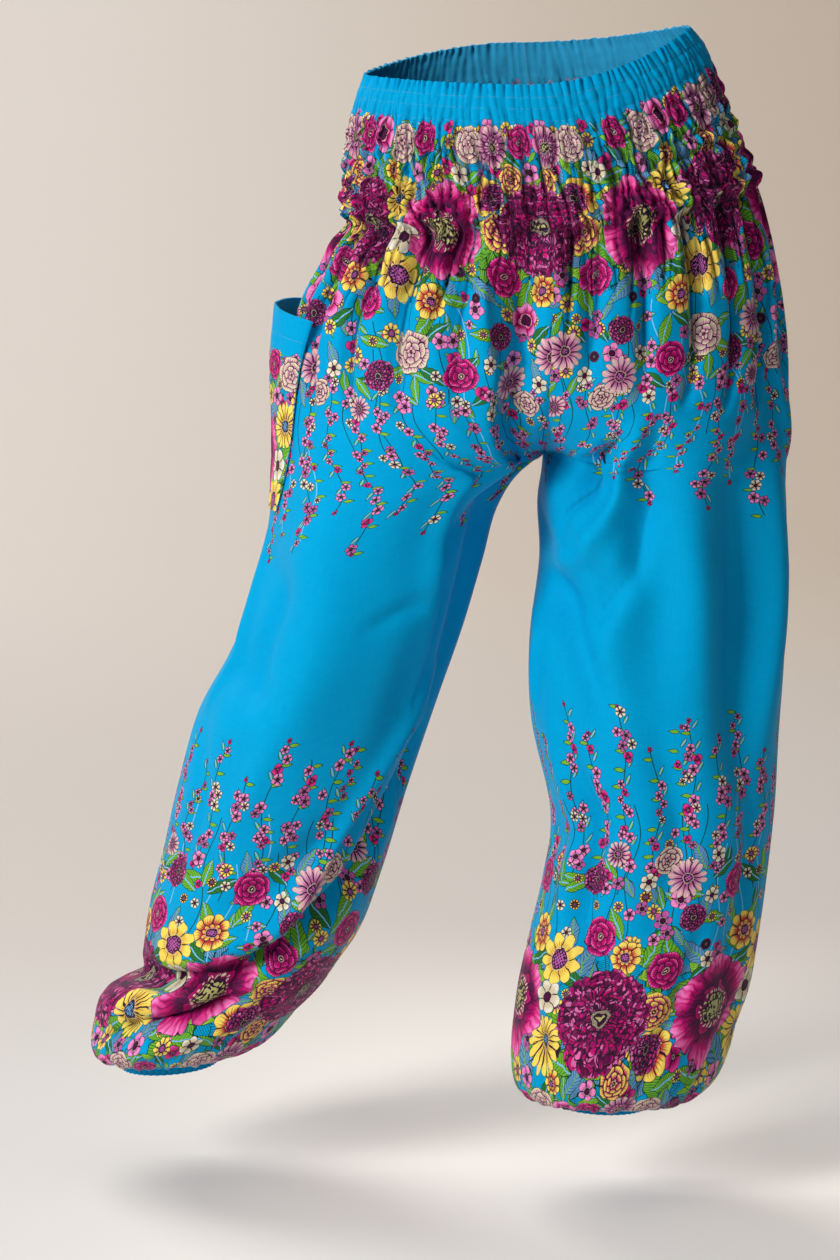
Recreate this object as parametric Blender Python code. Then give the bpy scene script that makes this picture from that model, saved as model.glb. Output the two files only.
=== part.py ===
"""Harem pants in their worn, hollow form: a smocked waist, two full legs and gathered ankles.

Millimetres in the tables, metres in the mesh. X is the wearer's left, Y the back, Z up, and the
origin is the centre of the waist opening. Each panel is a thin wall. Its sections run from the side
seam to the centre seam or the inseam, and "down" is the length of cloth below the waist's edge.
"""

import math

import bmesh
import bpy
import numpy as np

MM = 0.001
SEAM_GAP = 0.3
WALL = 2.0

# Smocked waist
SMOCK_DEPTH = 145.0
GATHERS_A_PANEL = 22
FIRST_STITCH_ROW = 11.0
LAST_STITCH_ROW = 141.0
STITCH_ROWS = 7
STITCHED_CREST = 1.3
PUFFED_CREST = 4.2
PUFFED_TROUGH = 1.0
HEADING_CREST = 3.4
LINING_COLUMNS = 11
LINING_LEVELS = 6

# Legs
PLEATED_COLUMNS = 22
PLEATED_END = 300.0
PLEATED_LEVELS = 5
LEG_COLUMNS = 14
LEG_LEVELS = 16
CUFF_GATHERS_A_PANEL = 14
CURL_CRESTS = (0.0, 1.6, 3.2, 3.4, 1.2)  # height of the gathers at each level of the bag's curl
CASING_LENGTH = 15.0
CASING_RISE = 3.0
CASING_INSET = 1.0
CASING_WAVE = 2.4

# Patch pocket on the wearer's right hip
POCKET_TOP = 228.0
POCKET_BOTTOM = 418.0
POCKET_GAPE = 19.0
POCKET_BELLY = 3.5
POCKET_LIFT = 0.8  # extra clearance of its top corners from the gathers beneath
POCKET_FRONT = (0.25, 0.11)  # reach onto the front panel at its top and foot, in shares of that panel
POCKET_BACK = (0.34, 0.16)
POCKET_DROOP = 12.0  # how far the rim drops at its front corner
POCKET_COLUMNS = 14
POCKET_LEVELS = 10

QUARTER = 0.5523  # handle of a quarter ellipse, as a share of its radius
HALF = 4.0 / 3.0  # handle of a half ellipse, as a share of its depth

SIDES = {"right": -1, "left": 1}
FACES = {"front": -1, "back": 1}

TORSO_COLUMNS = (
    "down right_x right_z left_x left_z centre_x front_z back_z middle_y front back turn"
).split()
TORSO = [
    (0, -146, -23, 146, 20, 0, -29, 4, 0, 95, 100, 0.0),
    (12, -151, -34, 156, 10, 1, -41, -8, 0, 99, 103, 0.0),
    (40, -159, -60, 169, -16, 5, -68, -36, 0, 104, 109, 0.0),
    (75, -164, -96, 183, -55, 11, -102, -72, 0, 110, 119, 0.0),
    (110, -165, -128, 197, -92, 16, -134, -107, 0, 115, 129, 0.0),
    (145, -165, -160, 211, -130, 20, -163, -142, 0, 121, 138, 0.0),
    (160, -176, -171, 216, -145, 20, -178, -157, 0, 125, 142, 0.0),
    (185, -186, -190, 223, -170, 21, -203, -184, 0, 130, 147, 0.0),
    (225, -205, -226, 230, -210, 20, -242, -226, 0, 135, 151, 0.04),
    (270, -216, -270, 233, -252, 19, -286, -274, 2, 136, 151, 0.16),
    (315, -221, -312, 234, -292, 18, -325, -320, 4, 135, 149, 0.40),
    (350, -224, -348, 235, -330, 18, -349, -348, 6, 133, 146, 0.66),
    (382, -228, -380, 236, -362, 17, -361, -361, 8, 131, 142, 0.87),
    (412, -233, -410, 238, -394, 16, -367, -367, 8, 129, 138, 1.0),
]

LEG_COLUMN_NAMES = "down outer_x outer_z inner_x inner_z middle_y front back".split()
LEGS = {
    "right": [
        (428, -235, -426, -3, -382, 8, 127, 136),
        (460, -240, -456, -24, -412, 7, 123, 132),
        (505, -250, -500, -39, -464, 5, 118, 126),
        (565, -272, -552, -57, -526, 4, 114, 120),
        (625, -301, -606, -81, -596, 10, 112, 116),
        (690, -322, -680, -108, -680, 28, 112, 112),
        (760, -338, -748, -131, -759, 50, 114, 110),
        (820, -353, -808, -153, -822, 66, 116, 110),
        (862, -364, -850, -172, -857, 76, 118, 110),
        (890, -382, -878, -191, -880, 82, 118, 109),
        (932, -409, -922, -214, -903, 87, 112, 104),
    ],
    "left": [
        (428, 239, -412, 15, -380, 7, 126, 134),
        (460, 240, -446, 11, -408, 5, 122, 130),
        (505, 240, -495, 13, -458, 2, 118, 124),
        (570, 238, -558, 4, -538, -2, 116, 119),
        (635, 234, -625, 6, -612, -4, 112, 114),
        (700, 231, -690, 24, -698, -2, 108, 110),
        (765, 225, -756, 17, -762, 0, 108, 110),
        (825, 217, -818, 3, -824, 2, 110, 110),
        (870, 206, -866, -6, -868, 4, 110, 108),
        (905, 192, -900, -10, -904, 5, 106, 103),
    ],
}

# Each ankle: centre of the gathered hem, its radius, how far the bag sags below the straight way in.
CUFFS = {
    "right": {"centre": (-336, 88, -946), "radius": 47, "sag": 28, "tilt": 4.0, "curl": 84},
    "left": {"centre": (72, 0, -962), "radius": 46, "sag": 61, "tilt": -3.0, "curl": 104},
}

# Soft folds: a line on a panel from (u, down) to (u, down), its half width and its height, out or in.
FOLD_COLUMNS = "side face from_u from_down to_u to_down half_width height".split()
FOLDS = [
    ("right", "front", 0.92, 175, 0.90, 345, 20, -13),
    ("right", "front", 0.70, 250, 0.78, 420, 20, 6),
    ("right", "front", 0.97, 400, 0.72, 470, 18, -7),
    ("right", "front", 0.08, 450, 0.30, 520, 20, -6),
    ("right", "front", 0.12, 560, 0.34, 610, 18, -8),
    ("right", "front", 0.78, 470, 0.74, 640, 22, -6),
    ("right", "front", 0.86, 660, 0.40, 800, 22, -9),
    ("right", "front", 0.72, 760, 0.24, 880, 20, 7),
    ("right", "front", 0.10, 872, 0.58, 868, 14, -8),
    ("right", "front", 0.30, 915, 0.85, 890, 14, -6),
    ("left", "front", 0.07, 205, 0.10, 400, 15, 8),
    ("left", "front", 0.20, 250, 0.24, 420, 20, -5),
    ("left", "front", 0.96, 385, 0.62, 440, 17, -9),
    ("left", "front", 0.90, 430, 0.60, 500, 18, 7),
    ("left", "front", 0.97, 470, 0.66, 600, 18, -9),
    ("left", "front", 0.58, 430, 0.66, 590, 20, 6),
    ("left", "front", 0.24, 450, 0.22, 660, 24, -7),
    ("left", "front", 0.95, 720, 0.66, 690, 18, -7),
    ("left", "front", 0.70, 790, 0.48, 890, 18, -8),
    ("left", "front", 0.25, 820, 0.16, 895, 18, -6),
    ("right", "back", 0.93, 180, 0.90, 350, 22, -11),
    ("right", "back", 0.96, 405, 0.66, 480, 20, -8),
    ("right", "back", 0.80, 470, 0.45, 640, 24, -8),
    ("right", "back", 0.85, 690, 0.35, 780, 22, -8),
    ("right", "back", 0.15, 800, 0.60, 850, 18, -7),
    ("right", "back", 0.25, 890, 0.75, 880, 14, -6),
    ("left", "back", 0.96, 400, 0.64, 470, 20, -8),
    ("left", "back", 0.82, 450, 0.48, 640, 24, -8),
    ("left", "back", 0.30, 520, 0.34, 700, 24, -6),
    ("left", "back", 0.90, 700, 0.45, 760, 22, -7),
    ("left", "back", 0.60, 820, 0.30, 880, 18, -7),
]

# Pleats that fall from the smocking, alike in a panel but for their unevenness.
PLEATS_A_PANEL = 6
PLEAT_LENGTH = 115.0
PLEAT_HALF_WIDTH = 11.0
PLEAT_DEPTH = -7.0
FOLD_EASE = 0.09  # share of a panel beside each seam over which its folds die away
FADE_IN = 12.0  # length below the smocking over which folds rise

COLOURS = {
    "waist": (0.02, 0.30, 0.55),
    "leg": (0.0, 0.28, 0.56),
    "pocket": (0.01, 0.26, 0.50),
    "hem": (0.0, 0.22, 0.46),
}


def leg_rows(side):
    """Rows of one leg from waist to bag, as (down, outer xz, front xz, back xz, middle, depths, turn)."""
    rows = []
    for row in TORSO:
        value = dict(zip(TORSO_COLUMNS, row))
        rows.append(
            (
                value["down"],
                value[side + "_x"],
                value[side + "_z"],
                value["centre_x"],
                value["front_z"],
                value["back_z"],
                value["middle_y"],
                value["front"],
                value["back"],
                value["turn"],
            )
        )
    for row in LEGS[side]:
        value = dict(zip(LEG_COLUMN_NAMES, row))
        rows.append(
            (
                value["down"],
                value["outer_x"],
                value["outer_z"],
                value["inner_x"],
                value["inner_z"],
                value["inner_z"],
                value["middle_y"],
                value["front"],
                value["back"],
                1.0,
            )
        )
    return np.array(rows, float)


def slopes(rows):
    """Slope of each column at each row, from its neighbours, for a smooth run between rows."""
    step = np.diff(rows[:, 0])[:, None]
    rise = np.diff(rows[:, 1:], axis=0) / step
    inner = (rise[:-1] * step[1:] + rise[1:] * step[:-1]) / (step[:-1] + step[1:])
    return np.vstack([rise[:1], inner, rise[-1:]])


ROWS = {side: leg_rows(side) for side in SIDES}
SLOPES = {side: slopes(ROWS[side]) for side in SIDES}
FREE_END = {side: ROWS[side][-1, 0] for side in SIDES}
CLOTH_END = {side: FREE_END[side] + CUFFS[side]["curl"] for side in SIDES}


def row_at(side, down):
    """The leg's values at any length down, by a smooth run through its rows."""
    rows = ROWS[side]
    down = min(max(down, rows[0, 0]), rows[-1, 0])
    k = min(int(np.searchsorted(rows[:, 0], down, side="right")) - 1, len(rows) - 2)
    step = rows[k + 1, 0] - rows[k, 0]
    t = (down - rows[k, 0]) / step
    start, end = rows[k, 1:], rows[k + 1, 1:]
    leave, arrive = SLOPES[side][k] * step, SLOPES[side][k + 1] * step
    return (
        (2 * t**3 - 3 * t**2 + 1) * start
        + (t**3 - 2 * t**2 + t) * leave
        + (3 * t**2 - 2 * t**3) * end
        + (t**3 - t**2) * arrive
    )


def bezier(a, b, c, d, t):
    return (1 - t) ** 3 * a + 3 * (1 - t) ** 2 * t * b + 3 * (1 - t) * t**2 * c + t**3 * d


def handles(turn):
    """Handle lengths of a section at its outer and inner ends, as shares of its depth: from a quarter
    ellipse, at turn 0, to a half ellipse, at turn 1, and never swelling past the depth between."""
    angle = min(max(turn, 0.0), 1.0) * math.pi / 2
    end, bend = math.cos(angle), math.sin(angle)
    outer, inner = QUARTER + (HALF - QUARTER) * bend, HALF * bend
    share = 1.0
    while share > 0.3:
        peak = max(bezier(0, outer * share, end + inner * share, end, t / 20) for t in range(21))
        if peak <= 1.001:
            break
        share -= 0.01
    return outer * share, inner * share


HANDLE_STEPS = 60
HANDLES = np.array([handles(k / HANDLE_STEPS) for k in range(HANDLE_STEPS + 1)])


def section(side, face, u, down):
    """A point of the smooth cloth, without folds. u runs from the side seam, 0, to the inner seam, 1."""
    outer_x, outer_z, inner_x, front_z, back_z, middle, front, back, turn = row_at(side, down)
    way = FACES[face]
    depth = front if face == "front" else back
    inner_z = front_z if face == "front" else back_z
    angle = min(max(turn, 0.0), 1.0) * math.pi / 2
    flat = math.cos(angle)
    start = np.array((outer_x, middle, outer_z))
    end = np.array((inner_x, middle + way * depth * flat, inner_z))
    steps = np.arange(HANDLE_STEPS + 1) / HANDLE_STEPS
    out = np.interp(turn, steps, HANDLES[:, 0])
    back_in = np.interp(turn, steps, HANDLES[:, 1])
    leave = np.array((0.0, way * depth * out, 0.0))
    arrive = np.array(((outer_x - inner_x) * QUARTER * flat, way * depth * back_in, 0.0))
    return bezier(start, start + leave, end + arrive, end, u)


def cuff_point(side, face, u, radius):
    """A point of the gathered hem's circle, from the outer side, u = 0, to the inner side, u = 1."""
    cuff = CUFFS[side]
    tilt = math.radians(cuff["tilt"])
    outward = np.array((math.cos(tilt), 0.0, math.sin(tilt))) * SIDES[side]
    across = np.array((0.0, FACES[face], 0.0))
    angle = math.pi * u
    centre = np.array(cuff["centre"], float)
    return centre + radius * (math.cos(angle) * outward + math.sin(angle) * across)


def cuff_axis(side):
    tilt = math.radians(CUFFS[side]["tilt"])
    return np.array((math.sin(tilt), 0.0, -math.cos(tilt)))


def smooth_point(side, face, u, down):
    """The smooth cloth from the waist to the ankle, with the bag's curl at its end."""
    end = FREE_END[side]
    if down <= end:
        return section(side, face, u, down)
    cuff = CUFFS[side]
    t = min((down - end) / cuff["curl"], 1.0)
    edge = section(side, face, u, end)
    hem = cuff_point(side, face, u, cuff["radius"])
    reach = bezier(1.0, 1.0, 0.46, 0.0, t)
    sag = bezier(0.0, 1.25, 0.55, 0.0, t) * cuff["sag"]
    return hem + (edge - hem) * reach + cuff_axis(side) * sag


def normal_of(surface, side, face, u, down):
    """Outward unit normal of a cloth surface, from small steps along and across it."""
    du, dd = 0.004, 0.8
    last = CLOTH_END[side]
    across = surface(side, face, min(u + du, 1), down) - surface(side, face, max(u - du, 0), down)
    along = surface(side, face, u, min(down + dd, last)) - surface(side, face, u, max(down - dd, 0))
    normal = np.cross(along, across) * (SIDES[side] * FACES[face])
    return normal / np.linalg.norm(normal)


def girth(side, face, down):
    """Rough length of a panel's section, for folds measured in millimetres."""
    points = [section(side, face, u, down) for u in (0, 0.25, 0.5, 0.75, 1)]
    return sum(np.linalg.norm(b - a) for a, b in zip(points, points[1:]))


GIRTHS = {
    (side, face): [girth(side, face, down) for down in range(0, 920, 20)]
    for side in SIDES
    for face in FACES
}


def unevenness(*keys):
    """A fixed number from -1 to 1 for a gather or a row, so that no two are quite alike."""
    return math.sin(sum(key * weight for key, weight in zip(keys, (12.9, 78.2, 37.7))) + 1.3)


def pleat_rows(side, face):
    """The pleats of one panel, as rows of the fold table."""
    rows = []
    for k in range(PLEATS_A_PANEL):
        uneven = unevenness(k, SIDES[side], FACES[face] + 2)
        other = unevenness(k + 9, FACES[face], SIDES[side] + 2)
        u = (k + 0.55 + 0.22 * uneven) / PLEATS_A_PANEL
        start = SMOCK_DEPTH + 8
        end = start + PLEAT_LENGTH * (1 + 0.45 * other)
        width = PLEAT_HALF_WIDTH * (1 + 0.2 * uneven)
        rows.append((side, face, u, start, u + 0.05 * other, end, width, PLEAT_DEPTH * (1 + 0.3 * other)))
    return rows


PANEL_FOLDS = {
    (side, face): [
        dict(zip(FOLD_COLUMNS, row))
        for row in [row for row in FOLDS if row[:2] == (side, face)] + pleat_rows(side, face)
    ]
    for side in SIDES
    for face in FACES
}


def fold_height(side, face, u, down):
    """Height of all soft folds at a point, in millimetres, out of the cloth."""
    lengths = GIRTHS[side, face]
    length = lengths[min(int(down / 20), len(lengths) - 1)]
    total = 0.0
    for fold in PANEL_FOLDS[side, face]:
        along, fall = (fold["to_u"] - fold["from_u"]) * length, fold["to_down"] - fold["from_down"]
        off, drop = (u - fold["from_u"]) * length, down - fold["from_down"]
        t = min(max((off * along + drop * fall) / (along**2 + fall**2), 0.0), 1.0)
        far = math.hypot(off - along * t, drop - fall * t) / fold["half_width"]
        total += fold["height"] * math.exp(-(far**2)) * (0.45 + 0.55 * math.sin(math.pi * t))
    edge = min(u, 1 - u, FOLD_EASE) / FOLD_EASE
    return total * edge**2 * (3 - 2 * edge) * min(max((down - SMOCK_DEPTH) / FADE_IN, 0.0), 1.0)


def folded_point(side, face, u, down):
    place = smooth_point(side, face, u, down)
    return place + normal_of(smooth_point, side, face, u, down) * fold_height(side, face, u, down)


def seam_trimmed(u, length):
    """u drawn in from both seams, to leave the gap between panels."""
    trim = SEAM_GAP / 2 / length
    return trim + u * (1 - 2 * trim)


def stitch_levels():
    """(down, puffed) for each level of the smocked waist: stitched rows with a puff between two."""
    step = (LAST_STITCH_ROW - FIRST_STITCH_ROW) / (STITCH_ROWS - 1)
    levels = [(0.0, "heading")]
    for k in range(STITCH_ROWS):
        row = FIRST_STITCH_ROW + k * step
        levels.append((row, "stitched"))
        if k < STITCH_ROWS - 1:
            levels.append((row + step / 2, "puffed"))
    levels.append((SMOCK_DEPTH - SEAM_GAP / 2, "stitched"))
    return levels


def smocked_row(side, face, down, kind, number):
    """One level of the smocked outside: crests and troughs by turns."""
    columns = 2 * GATHERS_A_PANEL
    crest = {"heading": HEADING_CREST, "stitched": STITCHED_CREST, "puffed": PUFFED_CREST}[kind]
    trough = PUFFED_TROUGH if kind == "puffed" else 0.0
    length = girth(side, face, down)
    row = []
    for k in range(columns + 1):
        u = seam_trimmed(k / columns, length)
        uneven = unevenness(k, number, SIDES[side] * 3 + FACES[face])
        height = crest * (1 + 0.3 * uneven) if k % 2 else trough
        normal = normal_of(smooth_point, side, face, u, down)
        row.append(smooth_point(side, face, u, down) + normal * height)
    return row


def waist_panel(side, face):
    """Outside in smocked relief, over a plain inside."""
    outside = [
        smocked_row(side, face, down, kind, number)
        for number, (down, kind) in enumerate(stitch_levels())
    ]
    inside = []
    last = SMOCK_DEPTH - SEAM_GAP / 2
    for k in range(LINING_LEVELS):
        down = last * k / (LINING_LEVELS - 1)
        length = girth(side, face, down)
        row = []
        for j in range(LINING_COLUMNS + 1):
            u = seam_trimmed(j / LINING_COLUMNS, length)
            normal = normal_of(smooth_point, side, face, u, down)
            row.append(smooth_point(side, face, u, down) - normal * WALL)
        inside.append(row)
    return outside, inside


def leg_levels(side):
    """(down, columns, crest) for each level of a leg: fading gathers, the plain run, the cuff's gathers."""
    start = SMOCK_DEPTH + SEAM_GAP / 2
    end = FREE_END[side]
    full = 2 * GATHERS_A_PANEL
    levels = [(start, full, 2.0), (start + 9, full, 3.0), (start + 22, PLEATED_COLUMNS, 2.2)]
    top = levels[-1][0]
    for k in range(1, PLEATED_LEVELS + 1):
        levels.append((top + (PLEATED_END - top) * k / PLEATED_LEVELS, PLEATED_COLUMNS, 0.0))
    for k in range(1, LEG_LEVELS + 1):
        levels.append((PLEATED_END + (end - PLEATED_END) * k / LEG_LEVELS, LEG_COLUMNS, 0.0))
    for k, crest in enumerate(CURL_CRESTS, start=1):
        columns = 2 * CUFF_GATHERS_A_PANEL if crest else LEG_COLUMNS
        levels.append((end + CUFFS[side]["curl"] * k / len(CURL_CRESTS), columns, crest))
    return levels


def leg_panel(side, face):
    """Both faces of a leg panel's wall, with its folds and fading gathers."""
    outside, inside = [], []
    for number, (down, columns, crest) in enumerate(leg_levels(side)):
        length = girth(side, face, min(down, FREE_END[side]))
        if down > FREE_END[side]:
            length = math.pi * CUFFS[side]["radius"]
        outer_row, inner_row = [], []
        for k in range(columns + 1):
            u = seam_trimmed(k / columns, length)
            place = folded_point(side, face, u, down)
            normal = normal_of(folded_point, side, face, u, down)
            uneven = unevenness(k, number, SIDES[side] * 5 + FACES[face])
            height = crest * (1 + 0.25 * uneven) if k % 2 else 0.0
            outer_row.append(place + normal * height)
            inner_row.append(place + normal * (height - WALL))
        outside.append(outer_row)
        inside.append(inner_row)
    return outside, inside


def hip_point(q, down):
    """The right hip's cloth around the side seam: q below 0 lies on the front panel, above on the back."""
    face = "front" if q < 0 else "back"
    return smooth_point("right", face, abs(q), down)


def hip_normal(q, down):
    front = normal_of(smooth_point, "right", "front", max(-q, 0.0), down)
    back = normal_of(smooth_point, "right", "back", max(q, 0.0), down)
    if abs(q) < 1e-6:
        front = front + back
        return front / np.linalg.norm(front)
    return front if q < 0 else back


def pocket_gape(s, t):
    """How far the pocket stands off the hip, s across and t from its open top, 0, to its foot, 1."""
    across = max(math.sin(math.pi * s), 0.0) ** 0.7
    return across * (POCKET_GAPE * (1 - t) ** 1.7 + POCKET_BELLY * math.sin(math.pi * t))


def pocket():
    """A patch made from the hip's own points, moved out, and open along its top."""
    outside, inside = [], []
    for k in range(POCKET_LEVELS + 1):
        t = k / POCKET_LEVELS
        front_edge = -(POCKET_FRONT[0] + (POCKET_FRONT[1] - POCKET_FRONT[0]) * t)
        back_edge = POCKET_BACK[0] + (POCKET_BACK[1] - POCKET_BACK[0]) * t
        outer_row, inner_row = [], []
        for j in range(POCKET_COLUMNS + 1):
            s = j / POCKET_COLUMNS
            q = front_edge + (back_edge - front_edge) * s
            droop = POCKET_DROOP * (1 - s) * (1 - t)
            down = POCKET_TOP + (POCKET_BOTTOM - POCKET_TOP) * t + droop
            normal = hip_normal(q, down)
            off = SEAM_GAP + POCKET_LIFT * (1 - t) + pocket_gape(s, t)
            place = hip_point(q, down)
            inner_row.append(place + normal * off)
            outer_row.append(place + normal * (off + WALL))
        outside.append(outer_row)
        inside.append(inner_row)
    return outside, inside


def casing_rings(side):
    """Rings of the gathered hem casing: down its outside, then up its inside."""
    cuff = CUFFS[side]
    columns = 4 * CUFF_GATHERS_A_PANEL
    axis = cuff_axis(side)
    rings = []
    for inset in (0.0, WALL):
        ends = (-CASING_RISE, CASING_LENGTH) if inset == 0.0 else (CASING_LENGTH, -CASING_RISE)
        rings += [(depth, cuff["radius"] - CASING_INSET - inset) for depth in ends]
    loops = []
    for depth, radius in rings:
        loop = []
        for k in range(columns):
            around = 2.0 * k / columns
            face = "front" if around <= 1 else "back"
            u = around if around <= 1 else 2 - around
            inward = CASING_WAVE if k % 2 else 0.0
            loop.append(cuff_point(side, face, u, radius - inward) + axis * depth)
        loops.append(loop)
    return loops


class Shell:
    """Gathers points and faces of one closed wall, then makes its object."""

    def __init__(self):
        self.mesh = bmesh.new()

    def line(self, points):
        return [self.mesh.verts.new(tuple(float(c) * MM for c in place)) for place in points]

    def join(self, first, second):
        """Faces between two lines of points, which may differ in number."""
        i = j = 0
        while i < len(first) - 1 or j < len(second) - 1:
            share_i = (i + 1) / (len(first) - 1) if i < len(first) - 1 else math.inf
            share_j = (j + 1) / (len(second) - 1) if j < len(second) - 1 else math.inf
            if abs(share_i - share_j) < 1e-9:
                self.mesh.faces.new((first[i], first[i + 1], second[j + 1], second[j]))
                i, j = i + 1, j + 1
            elif share_i < share_j:
                self.mesh.faces.new((first[i], first[i + 1], second[j]))
                i += 1
            else:
                self.mesh.faces.new((first[i], second[j + 1], second[j]))
                j += 1

    def finish(self, name, colour):
        bmesh.ops.recalc_face_normals(self.mesh, faces=self.mesh.faces[:])
        data = bpy.data.meshes.new(name)
        self.mesh.to_mesh(data)
        self.mesh.free()
        data.shade_smooth()
        data.set_sharp_from_angle(angle=math.radians(50))
        data.materials.append(cloth_material(name, colour))
        made = bpy.data.objects.new(name, data)
        bpy.data.collections["harem_pants"].objects.link(made)
        return made


def wall(name, colour, outside, inside):
    """A closed wall from the rows of its two faces."""
    shell = Shell()
    outer = [shell.line(row) for row in outside]
    inner = [shell.line(row) for row in inside]
    for rows in (outer, inner):
        for upper, lower in zip(rows, rows[1:]):
            shell.join(upper, lower)
    shell.join(outer[0], inner[0])
    shell.join(outer[-1], inner[-1])
    for end in (0, -1):
        shell.join([row[end] for row in outer], [row[end] for row in inner])
    return shell.finish(name, colour)


def ring_wall(name, colour, loops):
    """A closed wall from loops that run down its outside and up its inside."""
    shell = Shell()
    lines = [shell.line(loop) for loop in loops]
    for line in lines:
        line.append(line[0])
    for upper, lower in zip(lines, lines[1:] + lines[:1]):
        shell.join(upper, lower)
    return shell.finish(name, colour)


def cloth_material(name, colour):
    material = bpy.data.materials.new(name + "_cloth")
    material.use_nodes = True
    shader = material.node_tree.nodes["Principled BSDF"]
    shader.inputs["Base Color"].default_value = (*colour, 1.0)
    shader.inputs["Roughness"].default_value = 0.6
    shader.inputs["Metallic"].default_value = 0.0
    return material


def main():
    for old in list(bpy.data.objects):
        bpy.data.objects.remove(old)
    bpy.context.scene.collection.children.link(bpy.data.collections.new("harem_pants"))
    for side in SIDES:
        for face in FACES:
            wall(f"waist_{face}_{side}", COLOURS["waist"], *waist_panel(side, face))
            wall(f"leg_{face}_{side}", COLOURS["leg"], *leg_panel(side, face))
        ring_wall(f"hem_casing_{side}", COLOURS["hem"], casing_rings(side))
    wall("pocket_right", COLOURS["pocket"], *pocket())


main()
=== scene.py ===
import math

import bpy
import numpy as np
from bpy.props import FloatProperty, FloatVectorProperty, IntProperty, PointerProperty
from bpy.types import Operator, Panel, PropertyGroup
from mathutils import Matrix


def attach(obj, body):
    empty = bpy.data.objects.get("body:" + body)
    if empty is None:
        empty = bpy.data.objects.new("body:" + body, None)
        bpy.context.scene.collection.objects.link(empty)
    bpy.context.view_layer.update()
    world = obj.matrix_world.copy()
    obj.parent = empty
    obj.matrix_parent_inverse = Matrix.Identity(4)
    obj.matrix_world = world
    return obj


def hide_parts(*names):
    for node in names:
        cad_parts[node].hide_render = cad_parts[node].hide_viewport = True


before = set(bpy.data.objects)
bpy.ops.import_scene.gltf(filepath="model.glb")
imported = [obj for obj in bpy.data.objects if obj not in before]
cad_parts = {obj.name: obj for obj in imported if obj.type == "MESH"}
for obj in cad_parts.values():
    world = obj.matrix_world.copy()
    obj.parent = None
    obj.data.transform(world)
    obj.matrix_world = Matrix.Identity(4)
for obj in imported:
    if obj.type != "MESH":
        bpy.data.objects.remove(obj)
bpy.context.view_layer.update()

bl_info = {
    "name": "Harem pants",
    "version": (1, 0, 0),
    "blender": (4, 5, 0),
    "location": "3D View > Sidebar > Harem pants",
    "description": "Loose trousers of printed rayon, smocked at the waist and gathered at the ankles",
    "category": "Object",
}

MM = 0.001

# ---------------------------------------------------------------- the cut, in millimetres

# Lengths down from the waist's edge.
HEADING, SMOCK_DEPTH, PLEATED_TO, BAG_TOP = 12.0, 145.0, 210.0, 855.0
STITCH_ROWS = (11, 21, 33, 47, 61, 75, 91, 106, 122, 137)
# The pocket's top and bottom, the u of its front and back edges at each, and its size as cut.
POCKET_TOP, POCKET_BOTTOM = 228.0, 418.0
POCKET_FRONT, POCKET_BACK = (0.25, 0.11), (0.34, 0.16)
POCKET_WIDTH, POCKET_LENGTH = 160.0, 192.0
CASING_DEPTH, CASING_FULLNESS, ANKLE_GATHERS = 18.0, 1.25, 22
# Handles of a cubic curve for a quarter and a half ellipse.
QUARTER, HALF = 0.5523, 4.0 / 3.0
# How far the bag goes on along the leg, and how much deeper its inner face lies, clear of its folds.
LEAN_CARRY, BAG_WALL = 45.0, 2.4

# Ways along x and y.
SIDES = {"right": -1, "left": 1}
FACES = {"front": -1, "back": 1}

# Sections of the seat, from a quarter ellipse a panel at turn 0 to a half ellipse at turn 1.
TORSO_COLUMNS = "down right_x right_z left_x left_z centre_x front_z back_z middle_y front back turn".split()
TORSO = [
    (0, -146, -23, 146, 20, 0, -29, 4, 0, 95, 100, 0.0),
    (12, -151, -34, 156, 10, 1, -41, -8, 0, 99, 103, 0.0),
    (40, -159, -60, 169, -16, 5, -68, -36, 0, 104, 109, 0.0),
    (75, -164, -96, 183, -55, 11, -102, -72, 0, 110, 119, 0.0),
    (110, -165, -128, 197, -92, 16, -134, -107, 0, 115, 129, 0.0),
    (145, -165, -160, 211, -130, 20, -163, -142, 0, 121, 138, 0.0),
    (160, -176, -171, 216, -145, 20, -178, -157, 0, 125, 142, 0.0),
    (185, -186, -190, 223, -170, 21, -203, -184, 0, 130, 147, 0.0),
    (225, -205, -226, 230, -210, 20, -242, -226, 0, 135, 151, 0.04),
    (270, -216, -270, 233, -252, 19, -286, -274, 2, 136, 151, 0.16),
    (315, -221, -312, 234, -292, 18, -325, -320, 4, 135, 149, 0.40),
    (350, -224, -348, 235, -330, 18, -349, -348, 6, 133, 146, 0.66),
    (382, -228, -380, 236, -362, 17, -361, -361, 8, 131, 142, 0.87),
    (412, -233, -410, 238, -394, 16, -367, -367, 8, 129, 138, 1.0),
]
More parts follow.
